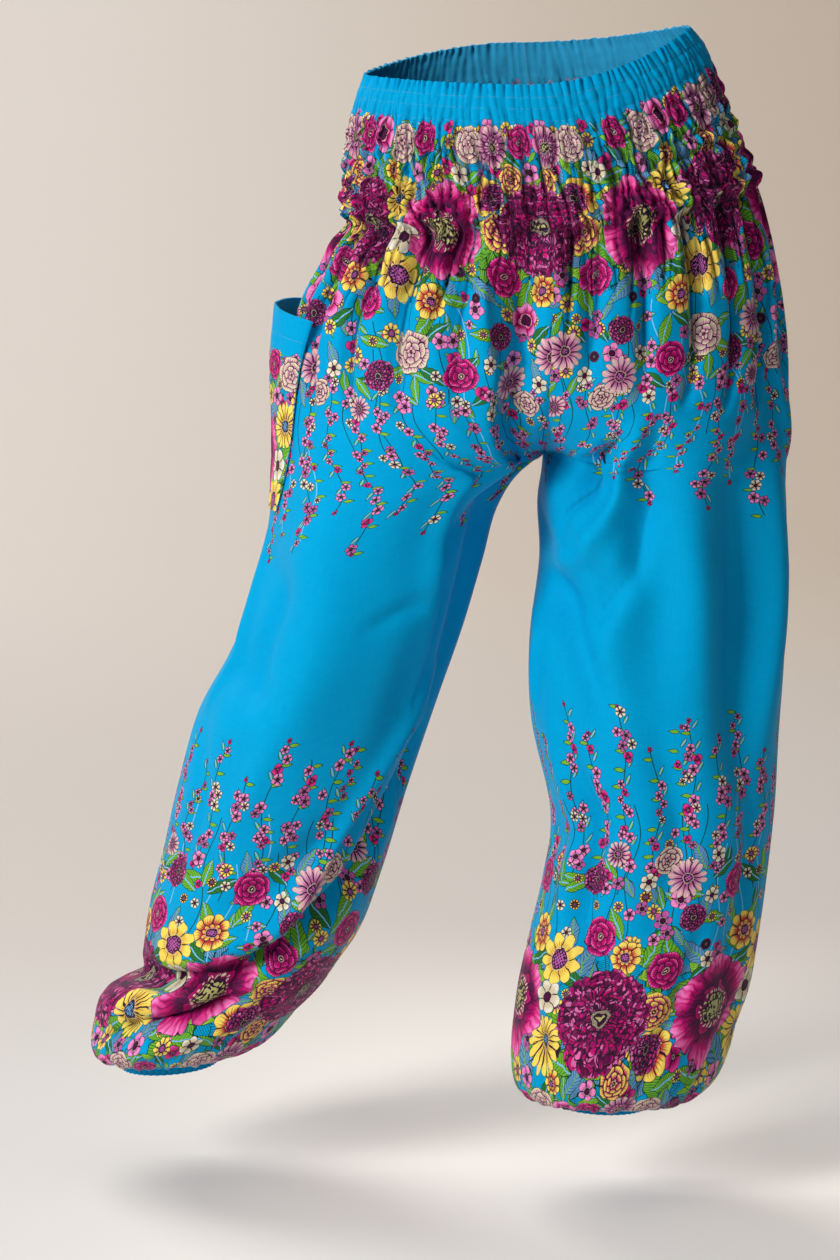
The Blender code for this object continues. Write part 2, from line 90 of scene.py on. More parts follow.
# Sections of each leg: down, outer x and z, inner x and z, middle y, depth in front and behind.
LEGS = {
    "right": [
        (428, -235, -426, -3, -382, 8, 127, 136),
        (460, -240, -456, -24, -412, 7, 123, 132),
        (505, -250, -500, -39, -464, 5, 118, 126),
        (565, -272, -552, -57, -526, 4, 114, 120),
        (625, -301, -606, -81, -596, 10, 112, 116),
        (690, -322, -680, -108, -680, 28, 112, 112),
        (760, -338, -748, -131, -759, 50, 114, 110),
        (820, -353, -808, -153, -822, 66, 116, 110),
        (862, -359, -849, -174, -855, 76, 118, 110),
        (888, -363, -872, -188, -876, 80, 117, 109),
        (908, -397, -890, -199, -889, 84, 114, 107),
        (932, -407, -922, -212, -901, 87, 110, 104),
    ],
    "left": [
        (428, 239, -412, 15, -380, 7, 126, 134),
        (460, 240, -446, 11, -408, 5, 122, 130),
        (505, 240, -495, 13, -458, 2, 118, 124),
        (570, 238, -558, 4, -538, -2, 116, 119),
        (635, 234, -625, 6, -612, -4, 112, 114),
        (700, 231, -690, 24, -698, -2, 108, 110),
        (765, 225, -756, 17, -762, 0, 108, 110),
        (825, 217, -818, 3, -824, 2, 110, 110),
        (870, 209, -866, -6, -868, 4, 110, 108),
        (905, 197, -900, -10, -904, 5, 106, 103),
    ],
}
# Gathered hems: middle, radius, tilt in degrees, and the bag's sag and curl.
CUFFS = {
    "right": {"centre": (-336, 88, -946), "radius": 47, "sag": 28, "tilt": 4.0, "curl": 84},
    "left": {"centre": (72, 0, -962), "radius": 46, "sag": 61, "tilt": -3.0, "curl": 104},
}

# Soft folds of each panel, from (u, down) to (u, down): u, down, u, down, half width, height.
FOLDS = {
    ("right", "front"): [
        (0.92, 175, 0.90, 345, 20, -13),
        (0.70, 250, 0.78, 420, 20, 6),
        (0.97, 400, 0.72, 470, 18, -7),
        (0.08, 450, 0.30, 520, 20, -6),
        (0.12, 560, 0.34, 610, 18, -8),
        (0.78, 470, 0.74, 640, 22, -6),
        (0.86, 660, 0.40, 800, 22, -9),
        (0.72, 760, 0.24, 880, 20, 7),
        (0.10, 872, 0.58, 868, 14, -8),
        (0.30, 915, 0.85, 890, 14, -6),
    ],
    ("left", "front"): [
        (0.07, 205, 0.10, 400, 15, 8),
        (0.20, 250, 0.24, 420, 20, -5),
        (0.96, 385, 0.62, 440, 17, -9),
        (0.90, 430, 0.60, 500, 18, 7),
        (0.97, 470, 0.66, 600, 18, -9),
        (0.58, 430, 0.66, 590, 20, 6),
        (0.24, 450, 0.22, 660, 24, -7),
        (0.95, 720, 0.66, 690, 18, -7),
        (0.70, 790, 0.48, 890, 18, -8),
        (0.25, 820, 0.16, 895, 18, -6),
    ],
    ("right", "back"): [
        (0.93, 180, 0.90, 350, 22, -11),
        (0.96, 405, 0.66, 480, 20, -8),
        (0.80, 470, 0.45, 640, 24, -8),
        (0.85, 690, 0.35, 780, 22, -8),
        (0.15, 800, 0.60, 850, 18, -7),
        (0.25, 890, 0.75, 880, 14, -6),
    ],
    ("left", "back"): [
        (0.96, 400, 0.64, 470, 20, -8),
        (0.82, 450, 0.48, 640, 24, -8),
        (0.30, 520, 0.34, 700, 24, -6),
        (0.90, 700, 0.45, 760, 22, -7),
        (0.60, 820, 0.30, 880, 18, -7),
    ],
}
# Finer creases and drapes: a run of (u, down) points, half width, height, and how sharp it is on the
# side towards the inner seam.
CREASES = {
    ("right", "front"): [
        (((0.43, 128), (0.46, 222)), 5, -13.0, 0.6),
        (((0.50, 130), (0.51, 250)), 8, 5.0, 1.0),
        (((0.71, 133), (0.68, 240)), 5, -13.0, 0.7),
        (((0.62, 128), (0.60, 205)), 4, -5.5, 1.0),
        (((0.28, 128), (0.22, 235)), 5, -6.0, 1.0),
        (((0.17, 128), (0.13, 215)), 5, -5.0, 1.0),
        (((0.36, 128), (0.33, 192)), 4, -5.0, 1.0),
        (((0.80, 165), (0.87, 271), (0.79, 390)), 13, 9.0, 0.35),
        (((0.88, 165), (0.94, 260), (0.87, 380)), 10, -10.0, 1.0),
        (((0.63, 370), (0.68, 453), (0.71, 496), (0.75, 540), (0.78, 600)), 16, 7.5, 0.3),
        (((0.30, 420), (0.36, 520), (0.44, 660)), 38, 12.0, 1.0),
        (((0.86, 390), (0.89, 480), (0.92, 570), (0.94, 660)), 24, -18.0, 1.0),
        (((0.71, 523), (0.63, 527), (0.54, 536)), 9, -4.5, 1.0),
        (((0.92, 540), (0.93, 640), (0.90, 720)), 6, 6.0, 0.4),
        (((0.04, 440), (0.06, 500), (0.10, 560), (0.09, 610)), 7, 7.5, 1.0),
        (((0.22, 490), (0.22, 541), (0.28, 602)), 14, -9.0, 1.0),
        (((0.86, 600), (0.72, 690), (0.62, 766), (0.56, 830)), 13, 12.0, 0.45),
        (((0.94, 655), (0.77, 762), (0.66, 796), (0.57, 834), (0.52, 860), (0.41, 904)), 13, -23.0, 1.0),
        (((0.02, 868), (0.20, 872), (0.44, 853), (0.60, 826)), 10, -19.0, 1.0),
        (((0.03, 896), (0.25, 895), (0.42, 880), (0.58, 858)), 11, 12.0, 1.0),
        (((0.10, 930), (0.34, 912), (0.58, 884)), 9, -16.0, 1.0),
        (((0.30, 945), (0.55, 922), (0.76, 892)), 10, 9.0, 1.0),
        (((0.44, 838), (0.60, 870), (0.70, 905)), 9, -7.5, 1.0),
        (((0.12, 625), (0.22, 700), (0.16, 770)), 12, -6.0, 1.0),
        (((0.40, 640), (0.34, 720)), 16, 4.5, 1.0),
    ],
    ("left", "front"): [
        (((0.94, 138), (0.97, 253)), 5, -8.0, 1.0),
        (((0.86, 133), (0.90, 262)), 5, -8.0, 1.0),
        (((0.75, 130), (0.79, 225)), 4, -5.5, 1.0),
        (((0.64, 126), (0.68, 205)), 5, -8.0, 1.0),
        (((0.52, 128), (0.55, 230)), 5, -6.0, 1.0),
        (((0.40, 128), (0.43, 200)), 4, -5.5, 1.0),
        (((0.20, 180), (0.21, 279), (0.15, 330), (0.08, 380)), 11, 7.5, 0.5),
        (((0.28, 128), (0.30, 240)), 6, -6.0, 1.0),
        (((0.12, 190), (0.10, 290)), 8, -7.5, 1.0),
        (((0.72, 330), (0.63, 413), (0.66, 457), (0.73, 490), (0.86, 505), (0.97, 500)), 11, 13.0, 1.0),
        (((0.76, 350), (0.75, 433), (0.82, 466)), 12, -17.0, 1.0),
        (((0.65, 345), (0.56, 431), (0.60, 495), (0.69, 530), (0.86, 530)), 14, -13.0, 1.0),
        (((0.96, 500), (0.84, 533), (0.75, 562), (0.69, 590), (0.66, 640)), 17, -8.0, 1.0),
        (((0.97, 540), (0.90, 560), (0.92, 620)), 6, 6.0, 1.0),
        (((0.46, 390), (0.44, 478), (0.41, 560)), 22, 6.0, 1.0),
        (((0.31, 370), (0.29, 480), (0.28, 640)), 24, -20.0, 1.0),
        (((0.56, 430), (0.53, 520), (0.51, 640)), 30, -8.0, 1.0),
        (((0.17, 380), (0.15, 480), (0.17, 640)), 18, 12.0, 0.9),
        (((0.80, 620), (0.72, 700), (0.74, 788), (0.58, 860)), 11, -9.0, 1.0),
        (((0.84, 650), (0.80, 730), (0.82, 800)), 14, 7.5, 1.0),
        (((0.50, 640), (0.46, 720), (0.50, 790)), 16, -7.5, 1.0),
        (((0.26, 650), (0.20, 740), (0.24, 830)), 13, -9.0, 1.0),
        (((0.36, 800), (0.40, 880), (0.46, 950)), 10, -6.0, 1.0),
        (((0.90, 850), (0.80, 900), (0.74, 950)), 9, -6.0, 1.0),
        (((0.10, 850), (0.16, 900), (0.24, 940)), 9, -7.5, 1.0),
    ],
    ("right", "back"): [
        (((0.30, 128), (0.26, 240)), 5, -7.0, 1.0),
        (((0.45, 128), (0.44, 212)), 4, -5.5, 1.0),
        (((0.58, 128), (0.62, 262)), 5, -7.5, 1.0),
        (((0.80, 133), (0.86, 270), (0.82, 360)), 12, -9.0, 0.6),
        (((0.70, 340), (0.66, 440), (0.76, 500), (0.90, 510)), 14, -9.0, 1.0),
        (((0.30, 400), (0.28, 500), (0.34, 620)), 16, -10.5, 1.0),
        (((0.16, 520), (0.40, 600), (0.62, 640)), 11, -7.5, 1.0),
        (((0.86, 610), (0.70, 700), (0.56, 790)), 13, 9.0, 0.5),
        (((0.04, 840), (0.30, 862), (0.60, 850)), 9, -10.5, 1.0),
        (((0.20, 925), (0.45, 900), (0.75, 905)), 8, -9.0, 1.0),
    ],
    ("left", "back"): [
        (((0.34, 128), (0.30, 246)), 5, -7.0, 1.0),
        (((0.50, 128), (0.50, 206)), 4, -5.5, 1.0),
        (((0.64, 128), (0.66, 258)), 5, -7.5, 1.0),
        (((0.84, 133), (0.88, 268), (0.80, 370)), 12, -9.0, 0.6),
        (((0.68, 350), (0.62, 440), (0.72, 505), (0.92, 512)), 14, -9.0, 1.0),
        (((0.26, 390), (0.28, 500), (0.24, 620)), 16, -12.0, 1.0),
        (((0.55, 560), (0.40, 610), (0.20, 620)), 11, -6.0, 1.0),
        (((0.80, 640), (0.72, 740), (0.62, 840)), 12, -9.0, 1.0),
        (((0.40, 800), (0.44, 880), (0.50, 950)), 10, -6.0, 1.0),
        (((0.14, 850), (0.20, 900), (0.26, 945)), 9, -7.5, 1.0),
    ],
}
PLEAT_TOP, PLEAT_END = 132, 153
# Folds fade out this near a seam, in u, and take a panel to be about this wide, in millimetres.
FOLD_EASE, PANEL_GIRTH = 0.06, 220.0

# ---------------------------------------------------------------- the print

# Kinds of bloom: petals a ring, rings, eye's size, colours of highlights, tips, bases and the eye.
KIND_COLUMNS = "name petals rings eye light tip base centre".split()
KINDS = [
    ("poppy", 6, 2, 0.30, "rose", "magenta", "plum", "olive"),
    ("dahlia", 30, 8, 0.09, "pink", "wine", "plum", "olive"),
    ("pink_daisy", 15, 2, 0.18, "cream", "blush", "mauve", "olive"),
    ("yellow_daisy", 9, 1, 0.36, "yellow", "yellow", "amber", "lilac"),
    ("cream_rose", 5, 4, 0.06, "cream", "cream", "blush", "magenta"),
    ("magenta_rose", 5, 4, 0.10, "rose", "magenta", "wine", "cream"),
    ("yellow_rose", 6, 4, 0.08, "yellow", "yellow", "magenta", "amber"),
    ("pink_pansy", 5, 2, 0.30, "blush", "rose", "magenta", "plum"),
    ("gerbera", 14, 1, 0.20, "cream", "blush", "mauve", "lilac"),
    ("small_pink", 5, 1, 0.30, "pink", "lilac", "lilac", "plum"),
    ("small_cream", 6, 1, 0.28, "white", "cream", "cream", "plum"),
    ("berry", 3, 1, 0.05, "pink", "magenta", "plum", "pink"),
    ("pompon", 13, 5, 0.12, "blush", "lilac", "plum", "plum"),
    ("orchid", 5, 1, 0.30, "blush", "rose", "lilac", "plum"),
    ("zinnia", 9, 2, 0.24, "yellow", "yellow", "red", "lilac"),
    ("fan", 18, 1, 0.22, "yellow", "yellow", "amber", "steel"),
]
KIND_NUMBER = {row[0]: number for number, row in enumerate(KINDS)}
KIND_STEPS = 16

# One repeat of the border: kind, place across, height above the border's edge, radius, turn in degrees.
BLOOMS = [
    ("dahlia", 60, 134, 45, 10),
    ("poppy", 178, 138, 48, 25),
    ("fan", 118, 108, 23, 200),
    ("small_cream", 121, 148, 17, 40),
    ("yellow_daisy", 116, 184, 25, 12),
    ("pompon", 10, 104, 15, 0),
    ("zinnia", 236, 104, 20, 15),
    ("yellow_rose", 244, 140, 19, 80),
    ("yellow_daisy", 4, 138, 13, 0),
    ("magenta_rose", 240, 178, 18, 30),
    ("yellow_rose", 14, 172, 18, 20),
    ("zinnia", 48, 190, 16, 30),
    ("pink_daisy", 22, 56, 20, 0),
    ("magenta_rose", 58, 52, 16, 60),
    ("pink_pansy", 90, 50, 17, 20),
    ("cream_rose", 124, 57, 19, 0),
    ("magenta_rose", 158, 52, 16, 110),
    ("pompon", 190, 52, 15, 0),
    ("cream_rose", 222, 55, 18, 50),
    ("pink_pansy", 250, 48, 13, 0),
    ("yellow_rose", 36, 86, 15, 20),
    ("orchid", 62, 79, 10, 0),
    ("yellow_daisy", 84, 82, 12, 30),
    ("zinnia", 104, 82, 12, 0),
    ("orchid", 142, 82, 10, 0),
    ("yellow_daisy", 164, 84, 11, 0),
    ("small_cream", 202, 82, 11, 0),
    ("berry", 252, 76, 9, 0),
    ("zinnia", 152, 204, 18, 40),
    ("pink_pansy", 196, 209, 21, 10),
    ("pompon", 222, 226, 13, 0),
    ("magenta_rose", 78, 208, 19, 0),
    ("pink_pansy", 22, 214, 17, 50),
    ("gerbera", 52, 240, 19, 200),
    ("cream_rose", 128, 242, 20, 20),
    ("pompon", 92, 262, 15, 0),
    ("magenta_rose", 176, 256, 17, 90),
    ("gerbera", 232, 264, 19, 100),
    ("yellow_daisy", 104, 230, 9, 0),
    ("small_cream", 36, 262, 9, 0),
    ("orchid", 158, 232, 8, 0),
    ("small_cream", 206, 246, 8, 0),
    ("small_pink", 250, 224, 9, 0),
    ("orchid", 4, 244, 10, 0),
    ("yellow_daisy", 150, 276, 7, 0),
    ("cream_rose", 20, 282, 14, 70),
    ("small_cream", 204, 286, 8, 0),
    ("orchid", 118, 284, 8, 0),
    ("gerbera", 70, 290, 13, 30),
]
# Leaves: colour, place across, height, half length, turn in degrees from lying across.
LEAVES = [
    ("green", 104, 134, 24, 70), ("green", 228, 148, 26, -50), ("steel", 18, 82, 20, 80),
    ("steel", 148, 98, 24, 60), ("green", 136, 112, 20, 110), ("dark", 100, 170, 20, 30),
    ("green", 4, 190, 24, 60), ("steel", 252, 122, 22, 100), ("green", 190, 88, 19, 10),
    ("steel", 76, 88, 18, 130), ("dark", 42, 68, 14, 40), ("green", 108, 64, 15, 100),
    ("steel", 206, 68, 16, 70), ("green", 142, 64, 14, 60), ("dark", 174, 68, 12, 120),
    ("green", 32, 192, 22, 20), ("steel", 88, 188, 21, 100), ("dark", 142, 184, 19, 150),
    ("steel", 214, 192, 20, 40), ("green", 254, 200, 20, 110), ("green", 62, 222, 18, 60),
    ("dark", 38, 226, 17, 140), ("steel", 108, 206, 18, 80), ("green", 142, 222, 17, 120),
    ("green", 176, 232, 18, 70), ("steel", 210, 240, 17, 100), ("dark", 150, 258, 17, 30),
    ("green", 110, 256, 16, 150), ("steel", 34, 254, 17, 60), ("green", 6, 266, 17, 120),
    ("green", 76, 274, 15, 45), ("dark", 196, 272, 15, 140), ("steel", 222, 286, 16, 60),
    ("green", 250, 284, 15, 110), ("green", 132, 270, 15, 80), ("steel", 168, 284, 15, 100),
    ("green", 24, 120, 18, 70), ("steel", 220, 122, 18, 20), ("green", 96, 96, 16, 20),
    ("green", 214, 86, 15, 150), ("steel", 56, 200, 16, 10), ("green", 164, 196, 17, 30),
]
LEAF_COLOURS = ("green", "dark", "steel", "lime")
# Stems, then sprigs of tiny flowers that trail into the plain cloth: place across, from height, to height.
STEMS = [
    (20, 190, 300), (54, 225, 330), (92, 250, 350), (130, 215, 330), (140, 200, 300), (182, 230, 340),
    (198, 200, 290), (222, 240, 330), (238, 200, 330), (70, 190, 300), (160, 190, 280), (8, 200, 310),
]
SPRIGS = [
    (8, 276, 398), (33, 270, 376), (62, 278, 411), (90, 270, 384), (118, 276, 406), (147, 270, 374),
    (176, 276, 412), (203, 270, 390), (232, 276, 404),
]
# Where the border starts across each leg's front, and how it slants and stretches, at waist and hem.
SHIFTS = {"right": (-66.0, 25.0), "left": (-55.0, 83.0)}
BACK_SHIFT, POCKET_SHIFT = 130.0, 88.0
SLANTS = {"right": (0.16, 0.0), "left": (-0.2, 0.0)}
STRETCHES = {"right": (0.24, -0.16), "left": (0.10, -0.05)}
PRINT_REPEAT, SPRIG_WAVE, SPRIG_LENGTH = 232.0, 4.0, 14.0
STRETCH_FROM, SLANT_FROM = 200, 230
FILLER_ROWS, FILLER_STEP = 22, 13
FILLERS = ("orchid", "berry", "yellow_daisy", "small_cream", "pompon", "zinnia", "small_pink",
           "yellow_daisy")
SPRIG_KINDS = ("orchid", "small_pink", "small_cream", "orchid", "small_pink", "berry", "orchid")
BLOOM_LAYERS, LEAF_LAYERS, STEM_LAYERS = 5, 4, 2
FOLIAGE_LENGTH, FOLIAGE_SCALE = 1.0125, 92.0
LARGEST_MOTIF, LINE_HALF_WIDTH, STEM_SCALE = 50.0, 0.56, 20.0
STITCH_HALF_WIDTH, WEAVE_TURNS = 0.00035, 9000.0


def unevenness(*keys):
    """A fixed number from -1 to 1, so that no two like things are quite alike."""
    return math.sin(sum(key * weight for key, weight in zip(keys, (12.9, 78.2, 37.7, 5.3))) + 1.3)


# ---------------------------------------------------------------- the worn form


def leg_rows(side):
    """One leg's sections from waist to bag.

    Each row has down, outer x and z, inner x, inner z in front and behind, middle y, depth in front and
    behind, and turn.
    """
    names = ["down", side + "_x", side + "_z"] + TORSO_COLUMNS[5:]
    torso = [dict(zip(TORSO_COLUMNS, row)) for row in TORSO]
    rows = [[row[name] for name in names] for row in torso]
    rows += [row[:5] + row[4:] + (1.0,) for row in LEGS[side]]
    return np.array(rows, float)


def slopes(rows):
    """Slope of each value at each row, for a smooth run through all rows."""
    step = np.diff(rows[:, 0])[:, None]
    rise = np.diff(rows[:, 1:], axis=0) / step
    inner = (rise[:-1] * step[1:] + rise[1:] * step[:-1]) / (step[:-1] + step[1:])
    return np.vstack([rise[:1], inner, rise[-1:]])


ROWS = {side: leg_rows(side) for side in SIDES}
SLOPES = {side: slopes(ROWS[side]) for side in SIDES}
FREE_END = {side: ROWS[side][-1, 0] for side in SIDES}
CLOTH_END = {side: FREE_END[side] + CUFFS[side]["curl"] for side in SIDES}


def row_values(side, down):
    """The leg's values at any lengths down, by a smooth run through its rows."""
    rows = ROWS[side]
    down = np.clip(down, rows[0, 0], rows[-1, 0])
    k = np.clip(np.searchsorted(rows[:, 0], down, side="right") - 1, 0, len(rows) - 2)
    step = (rows[k + 1, 0] - rows[k, 0])[..., None]
    t = (down - rows[k, 0])[..., None] / step
    start, end = rows[k, 1:], rows[k + 1, 1:]
    leave, arrive = SLOPES[side][k] * step, SLOPES[side][k + 1] * step
    return (
        (2 * t**3 - 3 * t**2 + 1) * start + (t**3 - 2 * t**2 + t) * leave
        + (3 * t**2 - 2 * t**3) * end + (t**3 - t**2) * arrive
    )


def bezier(a, b, c, d, t):
    """Points of a cubic curve."""
    return (1 - t) ** 3 * a + 3 * (1 - t) ** 2 * t * b + 3 * (1 - t) * t**2 * c + t**3 * d


def handles(turn):
    """Handle lengths of a section, from a quarter ellipse at turn 0 to a half ellipse at turn 1."""
    angle = turn * math.pi / 2
    end, bend = math.cos(angle), math.sin(angle)
    outer, inner = QUARTER + (HALF - QUARTER) * bend, HALF * bend
    share, steps = 1.0, np.linspace(0, 1, 21)
    while share > 0.3 and bezier(0, outer * share, end + inner * share, end, steps).max() > 1.001:
        share -= 0.01
    return outer * share, inner * share


HANDLE_TURNS = np.linspace(0, 1, 61)
HANDLES = np.array([handles(turn) for turn in HANDLE_TURNS])


def section(side, face, u, down):
    """Points of the smooth cloth. u runs from the side seam, 0, to the inner seam, 1."""
    value = row_values(side, down)
    outer_x, outer_z, inner_x, front_z, back_z, middle, front, back, turn = np.moveaxis(value, -1, 0)
    way = FACES[face]
    depth = front if face == "front" else back
    inner_z = front_z if face == "front" else back_z
    turn = np.clip(turn, 0, 1)
    flat = np.cos(turn * math.pi / 2)
    out = np.interp(turn, HANDLE_TURNS, HANDLES[:, 0])
    back_in = np.interp(turn, HANDLE_TURNS, HANDLES[:, 1])
    start = np.stack([outer_x, middle, outer_z], -1)
    end = np.stack([inner_x, middle + way * depth * flat, inner_z], -1)
    zero = np.zeros_like(depth)
    leave = np.stack([zero, way * depth * out, zero], -1)
    arrive = np.stack([(outer_x - inner_x) * QUARTER * flat, way * depth * back_in, zero], -1)
    return bezier(start, start + leave, end + arrive, end, u[..., None])


def cuff_circle(side, face, u, radius):
    """Points of the gathered hem's circle, from the outer side, u = 0, to the inner side, u = 1."""
    cuff = CUFFS[side]
    tilt = math.radians(cuff["tilt"])
    outward = np.array((math.cos(tilt), 0.0, math.sin(tilt))) * SIDES[side]
    across = np.array((0.0, FACES[face], 0.0))
    angle = (math.pi * u)[..., None]
    return np.array(cuff["centre"], float) + radius * (np.cos(angle) * outward + np.sin(angle) * across)


def cuff_axis(side):
    """The way down along the ankle."""
    tilt = math.radians(CUFFS[side]["tilt"])
    return np.array((math.sin(tilt), 0.0, -math.cos(tilt)))


def smooth_cloth(side, face, u, down):
    """The smooth cloth from the waist to the ankle, with the bag's curl at its end."""
    end, cuff = FREE_END[side], CUFFS[side]
    t = np.clip((down - end) / cuff["curl"], 0, 1)[..., None]
    edge = section(side, face, u, np.minimum(down, end))
    hem = cuff_circle(side, face, u, cuff["radius"])
    reach = bezier(1.0, 1.0, 0.46, 0.0, t)
    sag = bezier(0.0, 1.25, 0.55, 0.0, t) * cuff["sag"]
    axis = cuff_axis(side)
    lean = edge - section(side, face, u, np.minimum(down, end) - 8.0)
    lean = lean / np.maximum(np.linalg.norm(lean, axis=-1, keepdims=True), 1e-6)
    lean = lean - (lean @ axis)[..., None] * axis
    carry = bezier(0.0, 0.8, 0.15, 0.0, t) * LEAN_CARRY
    return np.where(t > 0, hem + (edge - hem) * reach + axis * sag + lean * carry, edge)


def outward_normals(side, face, u, down):
    """Outward unit normals of the smooth cloth, from small steps along and across it."""
    du, dd = 0.004, 0.8
    before, after = np.maximum(u - du, 0), np.minimum(u + du, 1)
    above, below = np.maximum(down - dd, 0), np.minimum(down + dd, CLOTH_END[side])
    across = smooth_cloth(side, face, after, down) - smooth_cloth(side, face, before, down)
    along = smooth_cloth(side, face, u, below) - smooth_cloth(side, face, u, above)
    normal = np.cross(along, across) * (SIDES[side] * FACES[face])
    return normal / np.linalg.norm(normal, axis=-1, keepdims=True)


GIRTH_LEVELS = np.arange(0, 920, 20.0)


def girths(side, face):
    """Rough lengths of a panel's sections, one for each 20 mm down."""
    rings = [section(side, face, np.full_like(GIRTH_LEVELS, u), GIRTH_LEVELS) for u in np.linspace(0, 1, 5)]
    return sum(np.linalg.norm(b - a, axis=-1) for a, b in zip(rings, rings[1:]))


GIRTHS = {(side, face): girths(side, face) for side in SIDES for face in FACES}


def pleats(side, face):
    """Pleats that fall from the smocking, as rows of the fold table: six wide ones and thirteen narrow."""
    rows = []
    for count, length, width, depth in ((6, 120, 9, -10.0), (13, 74, 4.2, -6.0)):
        for k in range(count):
            uneven = unevenness(k, SIDES[side], FACES[face] + 2)
            other = unevenness(k + 9, FACES[face], SIDES[side] + 2)
            u = (k + 0.55 + 0.22 * uneven) / count
            end = PLEAT_END + length * (1 + 0.45 * other)
            half_width, height = width * (1 + 0.2 * uneven), depth * (1 + 0.3 * other)
            rows.append((u, PLEAT_TOP, u + 0.05 * other, end, half_width, height))
    return rows


def near_run(run, length, u, down):
    """For each point: distance to the run, its side of it, and how far along the run it lies, 0 to 1."""
    best, side, along = np.full_like(u, 1e9), np.zeros_like(u), np.zeros_like(u)
    reach = [math.hypot((b[0] - a[0]) * PANEL_GIRTH, b[1] - a[1]) for a, b in zip(run, run[1:])]
    start = 0.0
    for (u0, d0), (u1, d1), part in zip(run, run[1:], reach):
        across, fall = (u1 - u0) * length, d1 - d0
        off, drop = (u - u0) * length, down - d0
        t = np.clip((off * across + drop * fall) / (across**2 + fall**2), 0, 1)
        far = np.hypot(off - across * t, drop - fall * t)
        closer = far < best
        best = np.where(closer, far, best)
        side = np.where(closer, np.sign(off * fall - drop * across), side)
        along = np.where(closer, (start + t * part) / sum(reach), along)
        start += part
    return best, side, along


def fold_height(side, face, u, down):
    """Height of all soft folds and creases out of the cloth, and the painted shade along narrow ones."""
    length = np.interp(down, GIRTH_LEVELS, GIRTHS[side, face])
    total, fold_shade = np.zeros_like(u), np.zeros_like(u)
    straight = [(((u0, down0), (u1, down1)), half_width, height, 1.0)
                for u0, down0, u1, down1, half_width, height in FOLDS[side, face] + pleats(side, face)]
    for run, half_width, height, sharp in straight + CREASES[side, face]:
        far, way, along = near_run(run, length, u, down)
        width = half_width * np.where(way > 0, sharp, 1.0)
        fade = np.sin(math.pi * along) ** 0.8
        if run[0][1] < SMOCK_DEPTH:
            fade = np.clip(1.25 * np.cos(math.pi / 2 * along), 0, 1)
        power = 1.1 if half_width < 6 else 2.0
        total += height * np.exp(-((far / width) ** power)) * (0.35 + 0.65 * fade)
        # Painted shade: a dark line along the floor of each narrow fold.
        if half_width < 16:
            depth = np.clip(-1.6 * height / half_width - 1.1, 0, 1)
            line = np.exp(-((far / (0.14 * width + 0.8)) ** 2)) * depth * np.clip(1.6 * fade, 0, 1)
            fold_shade = np.maximum(fold_shade, line * (1.0 if half_width < 12 else 0.55))
    edge = np.minimum(np.minimum(u, 1 - u), FOLD_EASE) / FOLD_EASE
    share = edge**2 * (3 - 2 * edge) * np.clip((down - SMOCK_DEPTH + 18) / 12, 0, 1)
    return total * share, np.clip(fold_shade * share, 0, 1)


def ridges(side, face, u, down, count, wander):
    """Uneven upright ridges with sharp valleys, 0 to 1, and each ridge's own number."""
    key = SIDES[side] * 1.7 + FACES[face] * 0.6
    sway = np.sin(u * 19 + down / 17 + key) + 0.7 * np.sin(u * 43 - down / 9 + 2 * key)
    sway = sway + 0.6 * np.sin(u * 11 + down / 41)
    place = count * u + wander * sway * np.sin(math.pi * np.clip(u, 0, 1)) ** 0.5
    number = np.floor(place)
    return np.abs(np.sin(math.pi * place)) ** 0.75, number


